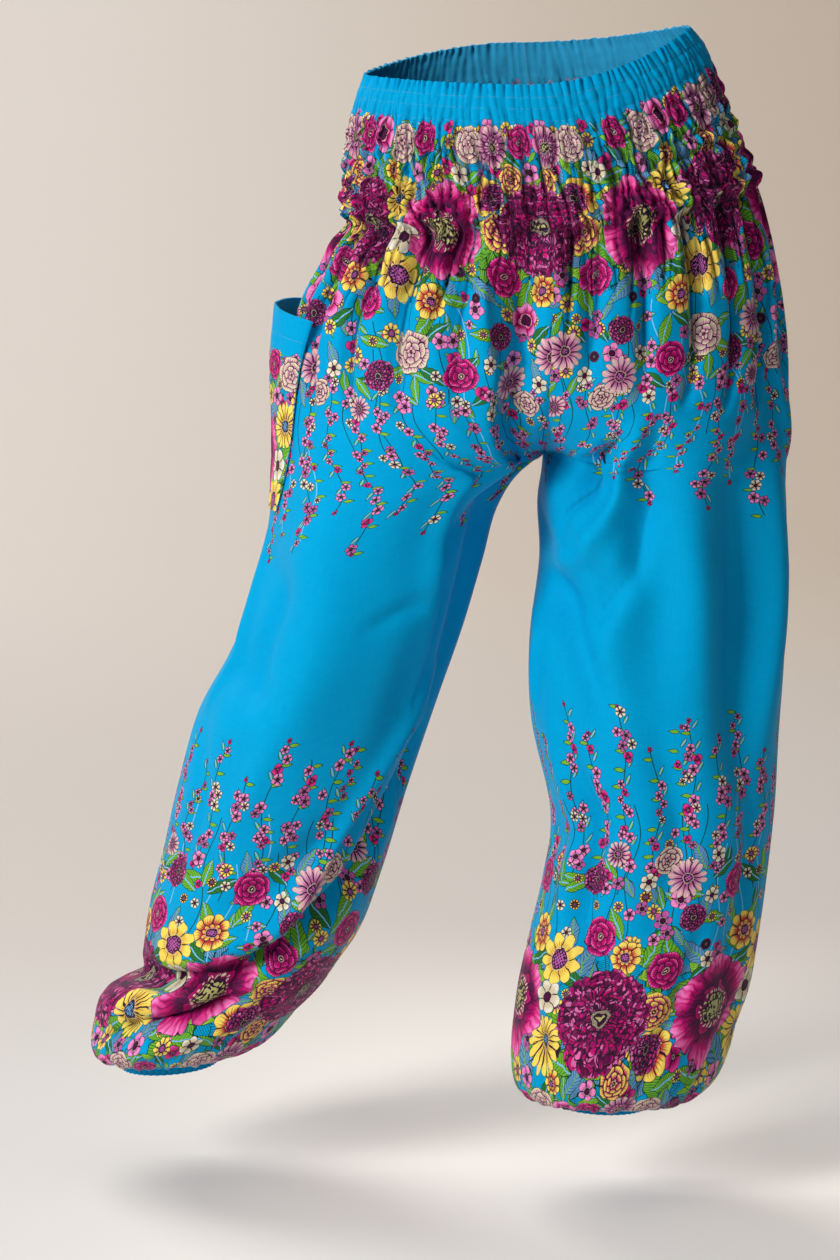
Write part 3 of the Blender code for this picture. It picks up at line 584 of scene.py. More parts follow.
def smocking_height(side, face, u, down, sizes):
    """Relief of the shirred waist: puffs between rows of elastic thread, broken by upright gathers; and the
    painted shade of its slits.
    """
    ridge, number = ridges(side, face, u, down * 0.8, sizes.gathers, 0.30)
    coarse, other = ridges(side, face, u + 0.013, down * 0.9, sizes.gathers * 0.55, 0.30)
    broad = 0.5 + 0.5 * np.sin(2 * math.pi * (u * sizes.gathers / 3.3 + 0.3 * np.sin(down / 23)))
    ridge = 0.72 * ridge + 0.4 * coarse * ridge**0.3

    # Puffs between the rows of thread, k, fuller and more crumpled lower down.
    stops = np.array((0.0,) + STITCH_ROWS + (SMOCK_DEPTH + 26,))
    k = np.clip(np.searchsorted(stops, down, side="right") - 1, 0, len(stops) - 2)
    t = (down - stops[k]) / (stops[k + 1] - stops[k])
    swell = np.sin(math.pi * np.clip(t, 0, 1)) ** 0.7
    amount = 1 + 0.5 * np.sin(number * 2.4 + k * 1.9) + 0.3 * np.sin(number * 5.1 + down / 11)
    lower, upper = np.clip((down - 40) / 80, 0, 1), np.clip((down - 8) / 40, 0.5, 1)
    crumple = np.sin(u * 151 + down / 3.1) * np.sin(u * 67 - down / 4.3) * lower
    lift = 0.6 + (2.8 + 3.0 * lower) * ridge * amount + (0.9 + 3.0 * lower) * broad + 2.2 * crumple
    puff = swell * lift * upper
    height = puff + (1 - swell) * ((1.1 + 1.7 * lower) * ridge + (0.2 + 1.8 * lower) * broad)

    # The heading's ruffle above the first row, and gathers that fade out below the last.
    heading = np.clip(1 - down / 11, 0, 1)
    ruffle = 0.9 + (1.9 + 2.4 * heading) * ridge * (0.8 + 0.25 * np.sin(number * 2.4))
    height = np.where(k == 0, ruffle, height)
    fade = np.clip(1 - (down - STITCH_ROWS[-1]) / 60, 0, 1)
    fading = (1.9 * broad + 2.6 * ridge * amount) * fade**1.3
    height = np.where(down > STITCH_ROWS[-1], np.minimum(height, 0.4 + fading) * fade**0.3, height)

    # Painted shade in slits between some gathers; wider grooves between some of the coarse ones, cut deeper
    # lower down and painted dark too.
    deep = np.clip(0.45 + 0.9 * np.sin(number * 1.7 + k * 1.3 + 0.9 * np.sin(number * 3.1)), 0, 1)
    slit_shade = 0.7 * np.clip(1.1 - ridge / 0.9, 0, 1) * deep
    deeper = np.clip(0.75 + 0.9 * np.sin(other * 2.3 + k * 0.9 + 0.9 * np.sin(other * 3.7)), 0, 1)
    groove_and_shade = np.clip(1.3 - coarse / 0.55, 0, 1) * deeper
    slit_shade = np.maximum(slit_shade, groove_and_shade) * np.clip((down - 10) / 32, 0.15, 1)
    height = height - 2.2 * groove_and_shade * lower
    seam = 0.22 + 0.78 * np.clip(np.minimum(u, 1.06 - u) / 0.18, 0, 1)
    return height * seam * sizes.puff / (2 * MM), slit_shade


def cuff_height(side, face, u, down):
    """Gathers that grow towards the ankle's elastic, and painted shade in the valleys between them."""
    ridge, number = ridges(side, face, u, down, ANKLE_GATHERS, 0.3)
    t = np.clip((down - FREE_END[side] + 30) / (CUFFS[side]["curl"] + 20), 0, 1)
    amount = 1 + 0.4 * np.sin(number * 2.7 + 0.4)
    end = np.clip((CLOTH_END[side] - down) / 20, 0.25, 1)
    return 3.2 * ridge * amount * t**1.5 * end, (1 - ridge) * t


def panel_relief(side, face, u, down, sizes):
    """Height of the cloth over its smooth form, and the painted shade of each point in creases and gathers,
    0 to 1.
    """
    smock, shade_depth = smocking_height(side, face, u, down, sizes)
    ankle, ankle_shade = cuff_height(side, face, u, down)
    in_smock = np.clip(1 - (down - STITCH_ROWS[-1]) / 60, 0, 1)
    folds, fold_shade = fold_height(side, face, u, down)
    soft = 0.8 * np.sin(u * 17 + down / 37) * np.sin(u * 9 - down / 53 + SIDES[side])
    soft = soft * np.clip((down - 180) / 120, 0, 1) * np.sin(math.pi * u) ** 0.5
    # Painted shade: the smocking's slits, the ankle's gathers and the narrow folds, 0 to 1.
    depth = np.clip(shade_depth * in_smock**0.6 + 0.5 * ankle_shade**3 + 0.9 * fold_shade, 0, 1)
    return smock * (in_smock > 0) + ankle + folds + soft, depth


# ---------------------------------------------------------------- meshes


def lowest_near(height):
    """The least height of each point and its eight neighbours, so that a coarse inner face stays inside."""
    padded = np.pad(height, 1, mode="edge")
    rows, columns = height.shape
    return np.min([padded[i : i + rows, j : j + columns] for i in range(3) for j in range(3)], axis=0)


def add_object(name, data):
    """An object of a mesh, light or camera, in the scene."""
    made = bpy.data.objects.new(name, data)
    bpy.context.scene.collection.objects.link(made)
    return made


def smooth_object(mesh, material, sharp_degrees):
    """A smooth-shaded object of a mesh and its material, sharp where faces meet at more than an angle."""
    mesh.shade_smooth()
    mesh.set_sharp_from_angle(angle=math.radians(sharp_degrees))
    mesh.materials.append(material)
    return add_object(mesh.name, mesh)


class ClothSheet:
    """A thin closed wall over a grid of points, whose inner face has every second row and column."""

    def __init__(self, name, smooth, normals, height, wall, flat):
        outer = smooth + normals * height[..., None]
        self.flat, self.inner_flat = flat, flat[::2, ::2]
        inner = (smooth + normals * (lowest_near(height) - wall)[..., None])[::2, ::2]
        points = np.concatenate([outer.reshape(-1, 3), inner.reshape(-1, 3)]) * MM
        rows, columns = outer.shape[0] - 1, outer.shape[1] - 1
        o = np.arange(outer.size // 3).reshape(outer.shape[:2])
        n = np.arange(inner.size // 3).reshape(inner.shape[:2]) + o.size
        outside = np.stack([o[:-1, :-1], o[1:, :-1], o[1:, 1:], o[:-1, 1:]], -1).reshape(-1, 4)
        inside = np.stack([n[:-1, :-1], n[:-1, 1:], n[1:, 1:], n[1:, :-1]], -1).reshape(-1, 4)
        rims = []
        for j in range(columns // 2):
            rims.append((o[0, 2 * j], o[0, 2 * j + 1], o[0, 2 * j + 2], n[0, j + 1], n[0, j]))
            rims.append((o[-1, 2 * j + 2], o[-1, 2 * j + 1], o[-1, 2 * j], n[-1, j], n[-1, j + 1]))
        for i in range(rows // 2):
            rims.append((o[2 * i + 2, 0], o[2 * i + 1, 0], o[2 * i, 0], n[i, 0], n[i + 1, 0]))
            rims.append((o[2 * i, -1], o[2 * i + 1, -1], o[2 * i + 2, -1], n[i + 1, -1], n[i, -1]))
        self.outside, self.inside = len(outside), len(inside)
        self.middle_face = rows // 2 * columns + columns // 2
        faces = outside.tolist() + inside.tolist() + [list(map(int, rim)) for rim in rims]
        self.mesh = mesh = bpy.data.meshes.new(name)
        mesh.from_pydata(points.tolist(), [], faces)
        flat_points = np.concatenate([flat.reshape(-1, 2), self.inner_flat.reshape(-1, 2)])
        corner = np.zeros(len(mesh.loops), np.int32)
        mesh.loops.foreach_get("vertex_index", corner)
        uv = mesh.uv_layers.new(name="cloth")
        uv.data.foreach_set("uv", (flat_points[corner] * MM).ravel().astype(np.float32))
        self.loops = len(corner)

    def point_values(self, name, values):
        """Stores one number for each point of the outer grid and its inner fellow."""
        data = np.concatenate([values.ravel(), values[::2, ::2].ravel()]).astype(np.float32)
        self.mesh.attributes.new(name, "FLOAT", "POINT").data.foreach_set("value", data)

    def face_layer(self, name, outside, inside):
        """Stores the print's own coordinates for the corners of each face."""
        data = np.full((self.loops, 3), 3.0, np.float32)
        data[:, 2] = 0.0
        data[: outside.size // 3] = outside.reshape(-1, 3)
        start = self.outside * 4
        data[start : start + inside.size // 3] = inside.reshape(-1, 3)
        self.mesh.attributes.new(name, "FLOAT_VECTOR", "CORNER").data.foreach_set("vector", data.ravel())

    def finish(self, material, outward):
        """Makes the object, with its outside facing the given way at the middle of the grid."""
        mesh = self.mesh
        inside = np.zeros(len(mesh.polygons), np.float32)
        inside[self.outside : self.outside + self.inside] = 1.0
        mesh.attributes.new("wrong_side", "FLOAT", "FACE").data.foreach_set("value", inside)
        if np.dot(mesh.polygons[self.middle_face].normal, outward) < 0:
            mesh.flip_normals()
        return smooth_object(mesh, material, 62)


class Border:
    """Lays the print's motifs over one sheet of cloth, a motif to a face in each layer."""

    def __init__(self, flat):
        self.corners = np.stack([flat[:-1, :-1], flat[1:, :-1], flat[1:, 1:], flat[:-1, 1:]], 2)
        self.low, self.high = self.corners.min(2), self.corners.max(2)
        self.row_low, self.row_high = self.low[..., 1].min(1), self.high[..., 1].max(1)
        shape = self.corners.shape[:2]
        self.layers, self.taken = {}, {}
        for name in self.layer_names():
            layer = np.full(shape + (4, 3), 3.0, np.float32)
            layer[..., 2] = 0.0
            self.layers[name], self.taken[name] = layer, np.zeros(shape, bool)

    @staticmethod
    def layer_names():
        layers = ("bloom", BLOOM_LAYERS), ("leaf", LEAF_LAYERS), ("stem", STEM_LAYERS)
        return [f"{group}_{k}" for group, count in layers for k in range(count)]

    def place(self, group, centre, half, scale, turn, mirrored, number):
        """Puts a motif, an oval of given halves before its turn, in its group's highest free layer."""
        c, s = math.cos(turn), math.sin(turn)
        reach = (abs(half[0] * c) + abs(half[1] * s), abs(half[0] * s) + abs(half[1] * c))
        first = np.searchsorted(self.row_high, centre[1] - reach[1])
        last = np.searchsorted(self.row_low, centre[1] + reach[1])
        if last <= first:
            return
        low, high = self.low[first:last], self.high[first:last]
        hit = (low[..., 0] < centre[0] + reach[0]) & (high[..., 0] > centre[0] - reach[0])
        hit &= (low[..., 1] < centre[1] + reach[1]) & (high[..., 1] > centre[1] - reach[1])
        if not hit.any():
            return
        off = self.corners[first:last][hit] - np.array(centre)
        if mirrored:
            off = off * np.array((1.0, -1.0))
        local = np.stack([off[..., 0] * c + off[..., 1] * s, off[..., 1] * c - off[..., 0] * s], -1)
        shares = np.abs(local) / (np.array(half) + 2.5)
        near = (shares.max(-1) if group == "stem" else np.hypot(shares[..., 0], shares[..., 1])).min(-1) < 1
        hit[hit] = near
        names = [name for name in self.layers if name.startswith(group)]
        free = len(names) - 1
        for k, name in enumerate(names):
            if (self.taken[name][first:last] & hit).any():
                free = min(free, k - 1)
        if free < 0:
            return
        local = local[near] / scale
        value = np.concatenate([local, np.full(local.shape[:-1] + (1,), number)], -1)
        self.layers[names[free]][first:last][hit] = value
        self.taken[names[free]][first:last] |= hit

    def bloom(self, kind, centre, radius, turn, mirrored):
        number = (KIND_NUMBER[kind] + 0.1 + 0.8 * radius / LARGEST_MOTIF) / KIND_STEPS
        self.place("bloom", centre, (radius, radius), radius, math.radians(turn), mirrored, number)

    def leaf(self, colour, centre, half_length, turn, mirrored):
        number = (LEAF_COLOURS.index(colour) + 0.1 + 0.8 * half_length / LARGEST_MOTIF) / len(LEAF_COLOURS)
        half = (half_length, half_length * 0.4)
        self.place("leaf", centre, half, half_length, math.radians(turn), mirrored, number)

    def drop(self, height):
        """Where a height of the drawn border lies once its sprigs are stretched."""
        return height + self.stretch * max(height - STRETCH_FROM, 0)

    def sprig_across(self, across, height):
        """Where a sprig's wavy stem lies across the cloth."""
        return across + SPRIG_WAVE * math.sin(self.drop(height) / SPRIG_LENGTH + across)

    def sprig(self, across, start, end, spot, mirrored):
        """Tiny flowers and leaves by turns up a wavy stem."""
        height, k = start, 0
        while height < end:
            fade = (height - start) / (end - start)
            x = self.sprig_across(across, height)
            way = 1 if k % 2 else -1
            uneven, other = unevenness(k, across), unevenness(across, k, 2)
            kind = SPRIG_KINDS[int(abs(other) * (len(SPRIG_KINDS) - 0.01))]
            radius = 5.4 + 1.2 * uneven - 1.2 * fade
            self.bloom(kind, spot(x + way * 2.2, height), radius, 40 * k, mirrored)
            if other > -0.3 and fade < 0.62 + 0.3 * uneven:
                mate = ("small_cream", "orchid", "small_pink")[k % 3]
                self.bloom(mate, spot(x - way * 6.0, height + 2), 4.8, 25 * k, mirrored)
            place = spot(x - way * 4.8, height + 4)
            self.leaf(("lime", "green")[k % 2], place, 6.0 - fade, 60 + 60 * way, mirrored)
            height += 6.0 + 1.3 * uneven + 3.2 * fade
            k += 1
        self.bloom("berry", spot(self.sprig_across(across, end + 3), end + 3), 2.6, 0, mirrored)

    def lay(self, width, length, shift, stretch, slant, edges):
        """The whole border along each edge, largest motifs first. The bottom edge's border is mirrored."""
        for mirrored in edges:
            first, self.stretch = shift[mirrored], stretch[mirrored]

            def spot(x, h):
                x += slant[mirrored] * (h - SLANT_FROM)
                return (x, length - self.drop(h) if mirrored else self.drop(h))

            start = int((first - LARGEST_MOTIF) // PRINT_REPEAT) - 1
            end = int((first + width + LARGEST_MOTIF) // PRINT_REPEAT) + 1
            bases = [k * PRINT_REPEAT - first for k in range(start, end)]
            for kind, across, height, radius, turn in BLOOMS:
                for base in bases:
                    self.bloom(kind, spot(base + across, height), radius, turn, mirrored)
            for base in bases:
                self.lay_small(base, spot, mirrored, slant[mirrored])

    def lay_small(self, base, spot, mirrored, slant):
        """One repeat's leaves, sprigs, small fillers and stems."""
        for colour, across, height, half_length, turn in LEAVES:
            self.leaf(colour, spot(base + across, height), half_length, turn, mirrored)
        for across, start, end in SPRIGS:
            self.sprig(base + across, start, end, spot, mirrored)
        for row in range(FILLER_ROWS):
            for column in range(int(PRINT_REPEAT // FILLER_STEP)):
                uneven, other = unevenness(row, column), unevenness(column, row, 3)
                height = 42 + row * 12 + 4 * uneven
                if height > 208 and other > 0.35 or height > 305:
                    continue
                place = spot(base + column * FILLER_STEP + 5 * other, height)
                kind = FILLERS[int((uneven + 1) / 2 * (len(FILLERS) - 0.01))]
                self.bloom(kind, place, 7.0 + 2.2 * other, 50 * other, mirrored)
                reach = 13 + 4 * uneven if height > 66 else 8
                self.leaf(LEAF_COLOURS[int((other + 1) * 1.99)], place, reach, 180 * other, mirrored)
        for across, start, end in SPRIGS + STEMS:
            start -= 25
            middle = (start + end) / 2
            number = ((self.drop(middle) / SPRIG_LENGTH + base + across) / (2 * math.pi)) % 1.0
            half = (5, (self.drop(end) - self.drop(start)) / 2)
            turn = -math.atan(slant / (1 + self.stretch))
            self.place("stem", spot(base + across, middle), half, STEM_SCALE, turn, mirrored, number)


def flat_places(outer, width, down):
    """Where each point lies on the flat cloth: along its row by the row's own length, and down."""
    steps = np.linalg.norm(np.diff(outer, axis=1), axis=-1)
    along = np.concatenate([np.zeros((outer.shape[0], 1)), np.cumsum(steps, axis=1)], axis=1)
    along = along / along[:, -1:] * width
    weights = np.exp(-np.linspace(-1.6, 1.6, 17) ** 2)
    padded = np.pad(along, ((8, 8), (0, 0)), mode="edge")
    along = sum(w * padded[k : k + len(along)] for k, w in enumerate(weights / weights.sum()))
    return np.stack([along, np.broadcast_to(down, along.shape)], -1)


def dress_with_print(sheet, width, length, shift, side, edges=(False, True)):
    """Lays the border over a sheet's outer and inner faces, along its top and, mirrored, its bottom."""
    outer, inner = Border(sheet.flat), Border(sheet.inner_flat)
    for border in (outer, inner):
        border.lay(width, length, shift, STRETCHES[side], SLANTS[side], edges)
    for name in Border.layer_names():
        turned = inner.layers[name][:, :, [0, 3, 2, 1]]  # corners of inner faces run the other way round
        sheet.face_layer(name, outer.layers[name], turned)


def even_levels(*spans):
    """Lengths down from (start, end, step) spans, an even number of steps in all."""
    levels = [0.0]
    for start, end, step in spans:
        count = max(int(round((end - start) / step)), 1)
        levels += list(np.linspace(start, end, count + 1)[1:])
    if len(levels) % 2 == 0:
        levels.insert(-1, (levels[-1] + levels[-2]) / 2)
    return np.array(levels)


def make_panel(side, face, sizes, material):
    """One panel from waist heading to hem, with its relief and print."""
    end, last = FREE_END[side], CLOTH_END[side]
    down = even_levels((0, HEADING, 1.5), (HEADING, SMOCK_DEPTH, 1.75), (SMOCK_DEPTH, PLEATED_TO, 3.2),
                       (PLEATED_TO, end, 6.2), (end, last, 3.0))
    columns = 2 * int(sizes.columns // 2)
    u, down_grid = np.meshgrid(np.linspace(0, 1, columns + 1), down)
    lengths = np.interp(down, GIRTH_LEVELS, GIRTHS[side, face])[:, None]
    trim = 0.02 / lengths
    u = trim + u * (1 - 2 * trim)
    smooth = smooth_cloth(side, face, u, down_grid)
    normals = outward_normals(side, face, u, down_grid)
    height, shade_depth = panel_relief(side, face, u, down_grid, sizes)
    outer = smooth + normals * height[..., None]
    flat = flat_places(outer, sizes.panel_width / MM, down[:, None])
    in_bag = np.clip((down - BAG_TOP) / 15, 0, 1) * np.clip((last - 25 - down) / 25, 0, 1)
    wall = sizes.wall / MM + BAG_WALL * in_bag[:, None]
    sheet = ClothSheet(f"panel_{face}_{side}", smooth, normals, height, wall, flat)
    # Painted shade for the creases and gathers, one number for each point.
    sheet.point_values("hollow_depth", shade_depth)
    shift = [start + (BACK_SHIFT if face == "back" else 0.0) for start in SHIFTS[side]]
    dress_with_print(sheet, sizes.panel_width / MM, last, shift, side)
    made = sheet.finish(material, normals[len(down) // 2, columns // 2])
    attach(made, "root")
    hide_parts(f"waist_{face}_{side}", f"leg_{face}_{side}")
    return made


def make_pocket(sizes, material):
    """The patch from the hip's own points, moved out and open along its top."""
    rows, columns = 64, 60
    t, s = np.meshgrid(np.linspace(0, 1, rows + 1), np.linspace(0, 1, columns + 1), indexing="ij")
    front = -(POCKET_FRONT[0] + (POCKET_FRONT[1] - POCKET_FRONT[0]) * t)
    back = POCKET_BACK[0] + (POCKET_BACK[1] - POCKET_BACK[0]) * t
    q = front + (back - front) * s
    down = POCKET_TOP + (POCKET_BOTTOM - POCKET_TOP) * t + 12 * (1 - s) * (1 - t)
    on_front = (q < 0)[..., None]
    place = np.where(on_front, smooth_cloth("right", "front", np.maximum(-q, 0), down),
                     smooth_cloth("right", "back", np.maximum(q, 0), down))
    in_front = outward_normals("right", "front", np.maximum(-q, 0), down)
    behind = outward_normals("right", "back", np.maximum(q, 0), down)
    share = np.clip(q / 0.04 * 0.5 + 0.5, 0, 1)[..., None]
    normal = in_front * (1 - share) + behind * share
    normal /= np.linalg.norm(normal, axis=-1, keepdims=True)
    across = np.sin(math.pi * s) ** 0.7
    gape = across * (19.0 * (1 - t) ** 1.7 + 3.5 * np.sin(math.pi * t))
    puckers = 0.5 * np.sin(s * 31 + t * 9) * np.sin(t * 23 + s * 4) * across
    off = 0.3 + 0.8 * (1 - t) + gape + puckers + sizes.wall / MM + 0.6
    flat = flat_places(place + normal * off[..., None], POCKET_WIDTH, t[:, :1] * POCKET_LENGTH)
    sheet = ClothSheet("pocket", place, normal, off, sizes.wall / MM, flat)
    sheet.point_values("hollow_depth", np.zeros_like(t))
    dress_with_print(sheet, POCKET_WIDTH, POCKET_LENGTH, (POCKET_SHIFT, 0.0), "right", (False,))
    made = sheet.finish(material, normal[rows // 2, columns // 2])
    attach(made, "root")
    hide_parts("pocket_right")
    return made


def make_casing(side, material):
    """The gathered hem casing, a closed ring round the ankle inside the bag."""
    cuff, axis = CUFFS[side], cuff_axis(side)
    columns = 288
    around = np.arange(columns) * 2.0 / columns
    gathers = np.abs(np.sin(math.pi * around * ANKLE_GATHERS)) ** 0.8
    profile = [(-3.0, 0.0), (1.0, 0.0), (5.0, 0.5), (8.0, 0.3), (12.0, 0.7), (15.0, 0.1),
               (15.0, 1.5), (11.0, 1.7), (5.0, 1.6), (-3.0, 1.6)]
    front, u = around <= 1, np.where(around <= 1, around, 2 - around)
    rings = []
    for depth, inset in profile:
        radius = (cuff["radius"] - 1.0 - inset - 2.2 * (1 - gathers))[:, None]
        halves = [cuff_circle(side, face, u, radius) for face in FACES]
        rings.append(np.where(front[:, None], *halves) + axis * depth)
    points = np.concatenate(rings) * MM
    n = len(rings)
    faces = []
    for i in range(n):
        for j in range(columns):
            k, m = (i + 1) % n, (j + 1) % columns
            faces.append((i * columns + j, k * columns + j, k * columns + m, i * columns + m))
    mesh = bpy.data.meshes.new(f"hem_casing_{side}")
    mesh.from_pydata(points.tolist(), [], faces)
    place = np.array([[2.4 * (j + (c in (2, 3))), 3.0 * (i + (c in (1, 2)))]
                      for i in range(n) for j in range(columns) for c in range(4)], np.float32)
    mesh.uv_layers.new(name="cloth").data.foreach_set("uv", (place * MM).ravel())
    centre = np.array(cuff["centre"]) * MM
    first = mesh.polygons[0]
    if np.dot(np.array(first.normal), np.array(first.center) - centre) < 0:
        mesh.flip_normals()
    made = smooth_object(mesh, material, 50)
    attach(made, "root")
    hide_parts(f"hem_casing_{side}")
    return made


# ---------------------------------------------------------------- materials


# Keep the order in which nodes are made here. With nearly the same nodes in another order, the printed
# cloth rendered black.


class Nodes:
    """Short calls that add shader nodes to one tree."""

    def __init__(self, tree):
        self.tree = tree

    def add(self, kind, settings=None, **inputs):
        node = self.tree.nodes.new(kind)
        for name, value in (settings or {}).items():
            setattr(node, name, value)
        for name, value in inputs.items():
            self.feed(node.inputs[name.replace("_", " ")], value)
        return node

    def feed(self, socket, value):
        if isinstance(value, bpy.types.NodeSocket):
            self.tree.links.new(value, socket)
        elif value is not None:
            socket.default_value = value

    def math(self, operation, *values):
        node = self.tree.nodes.new("ShaderNodeMath")
        node.operation = operation
        for socket, value in zip(node.inputs, values):
            self.feed(socket, value)
        return node.outputs[0]

    def vector(self, operation, *values):
        node = self.tree.nodes.new("ShaderNodeVectorMath")
        node.operation = operation
        for socket, value in zip(node.inputs, values):
            self.feed(socket, value)
        return node.outputs["Value" if operation in ("LENGTH", "DOT_PRODUCT") else "Vector"]

    def mix(self, share, first, second, blend="MIX"):
        node = self.tree.nodes.new("ShaderNodeMix")
        node.data_type = "RGBA"
        node.blend_type = blend
        for socket, value in ((node.inputs[0], share), (node.inputs[6], first), (node.inputs[7], second)):
            self.feed(socket, value)
        return node.outputs[2]

    def steps(self, place, colours):
        """A colour for each equal step of place from 0 to 1."""
        node = self.tree.nodes.new("ShaderNodeValToRGB")
        ramp = node.color_ramp
        ramp.interpolation = "CONSTANT"
        for number, colour in enumerate(colours):
            stop = ramp.elements[number] if number < 2 else ramp.elements.new(number / len(colours))
            stop.position = number / len(colours)
            stop.color = tuple(colour)[:3] + (1.0,)
        self.tree.links.new(place, node.inputs[0])
        return node.outputs[0]

    def split(self, vector):
        node = self.tree.nodes.new("ShaderNodeSeparateXYZ")
        self.tree.links.new(vector, node.inputs[0])
        return node.outputs

    def attribute(self, name):
        node = self.tree.nodes.new("ShaderNodeAttribute")
        node.attribute_name = name
        return node


def new_group(name, inputs, outputs):
    tree = bpy.data.node_groups.new(name, "ShaderNodeTree")
    for socket in inputs:
        tree.interface.new_socket(socket, in_out="INPUT", socket_type="NodeSocketVector")
    for socket, kind in outputs:
        tree.interface.new_socket(socket, in_out="OUTPUT", socket_type=kind)
    return tree, tree.nodes.new("NodeGroupInput"), tree.nodes.new("NodeGroupOutput")


def line_width(n, kind, kinds):
    """Half the width of a drawn line in a motif's own units, from the size kept beside its kind."""
    size = n.math("MULTIPLY_ADD", n.math("FRACT", n.math("MULTIPLY", kind, float(kinds))), 1.25, -0.125)
    return n.math("DIVIDE", LINE_HALF_WIDTH / LARGEST_MOTIF, n.math("MAXIMUM", size, 0.02))


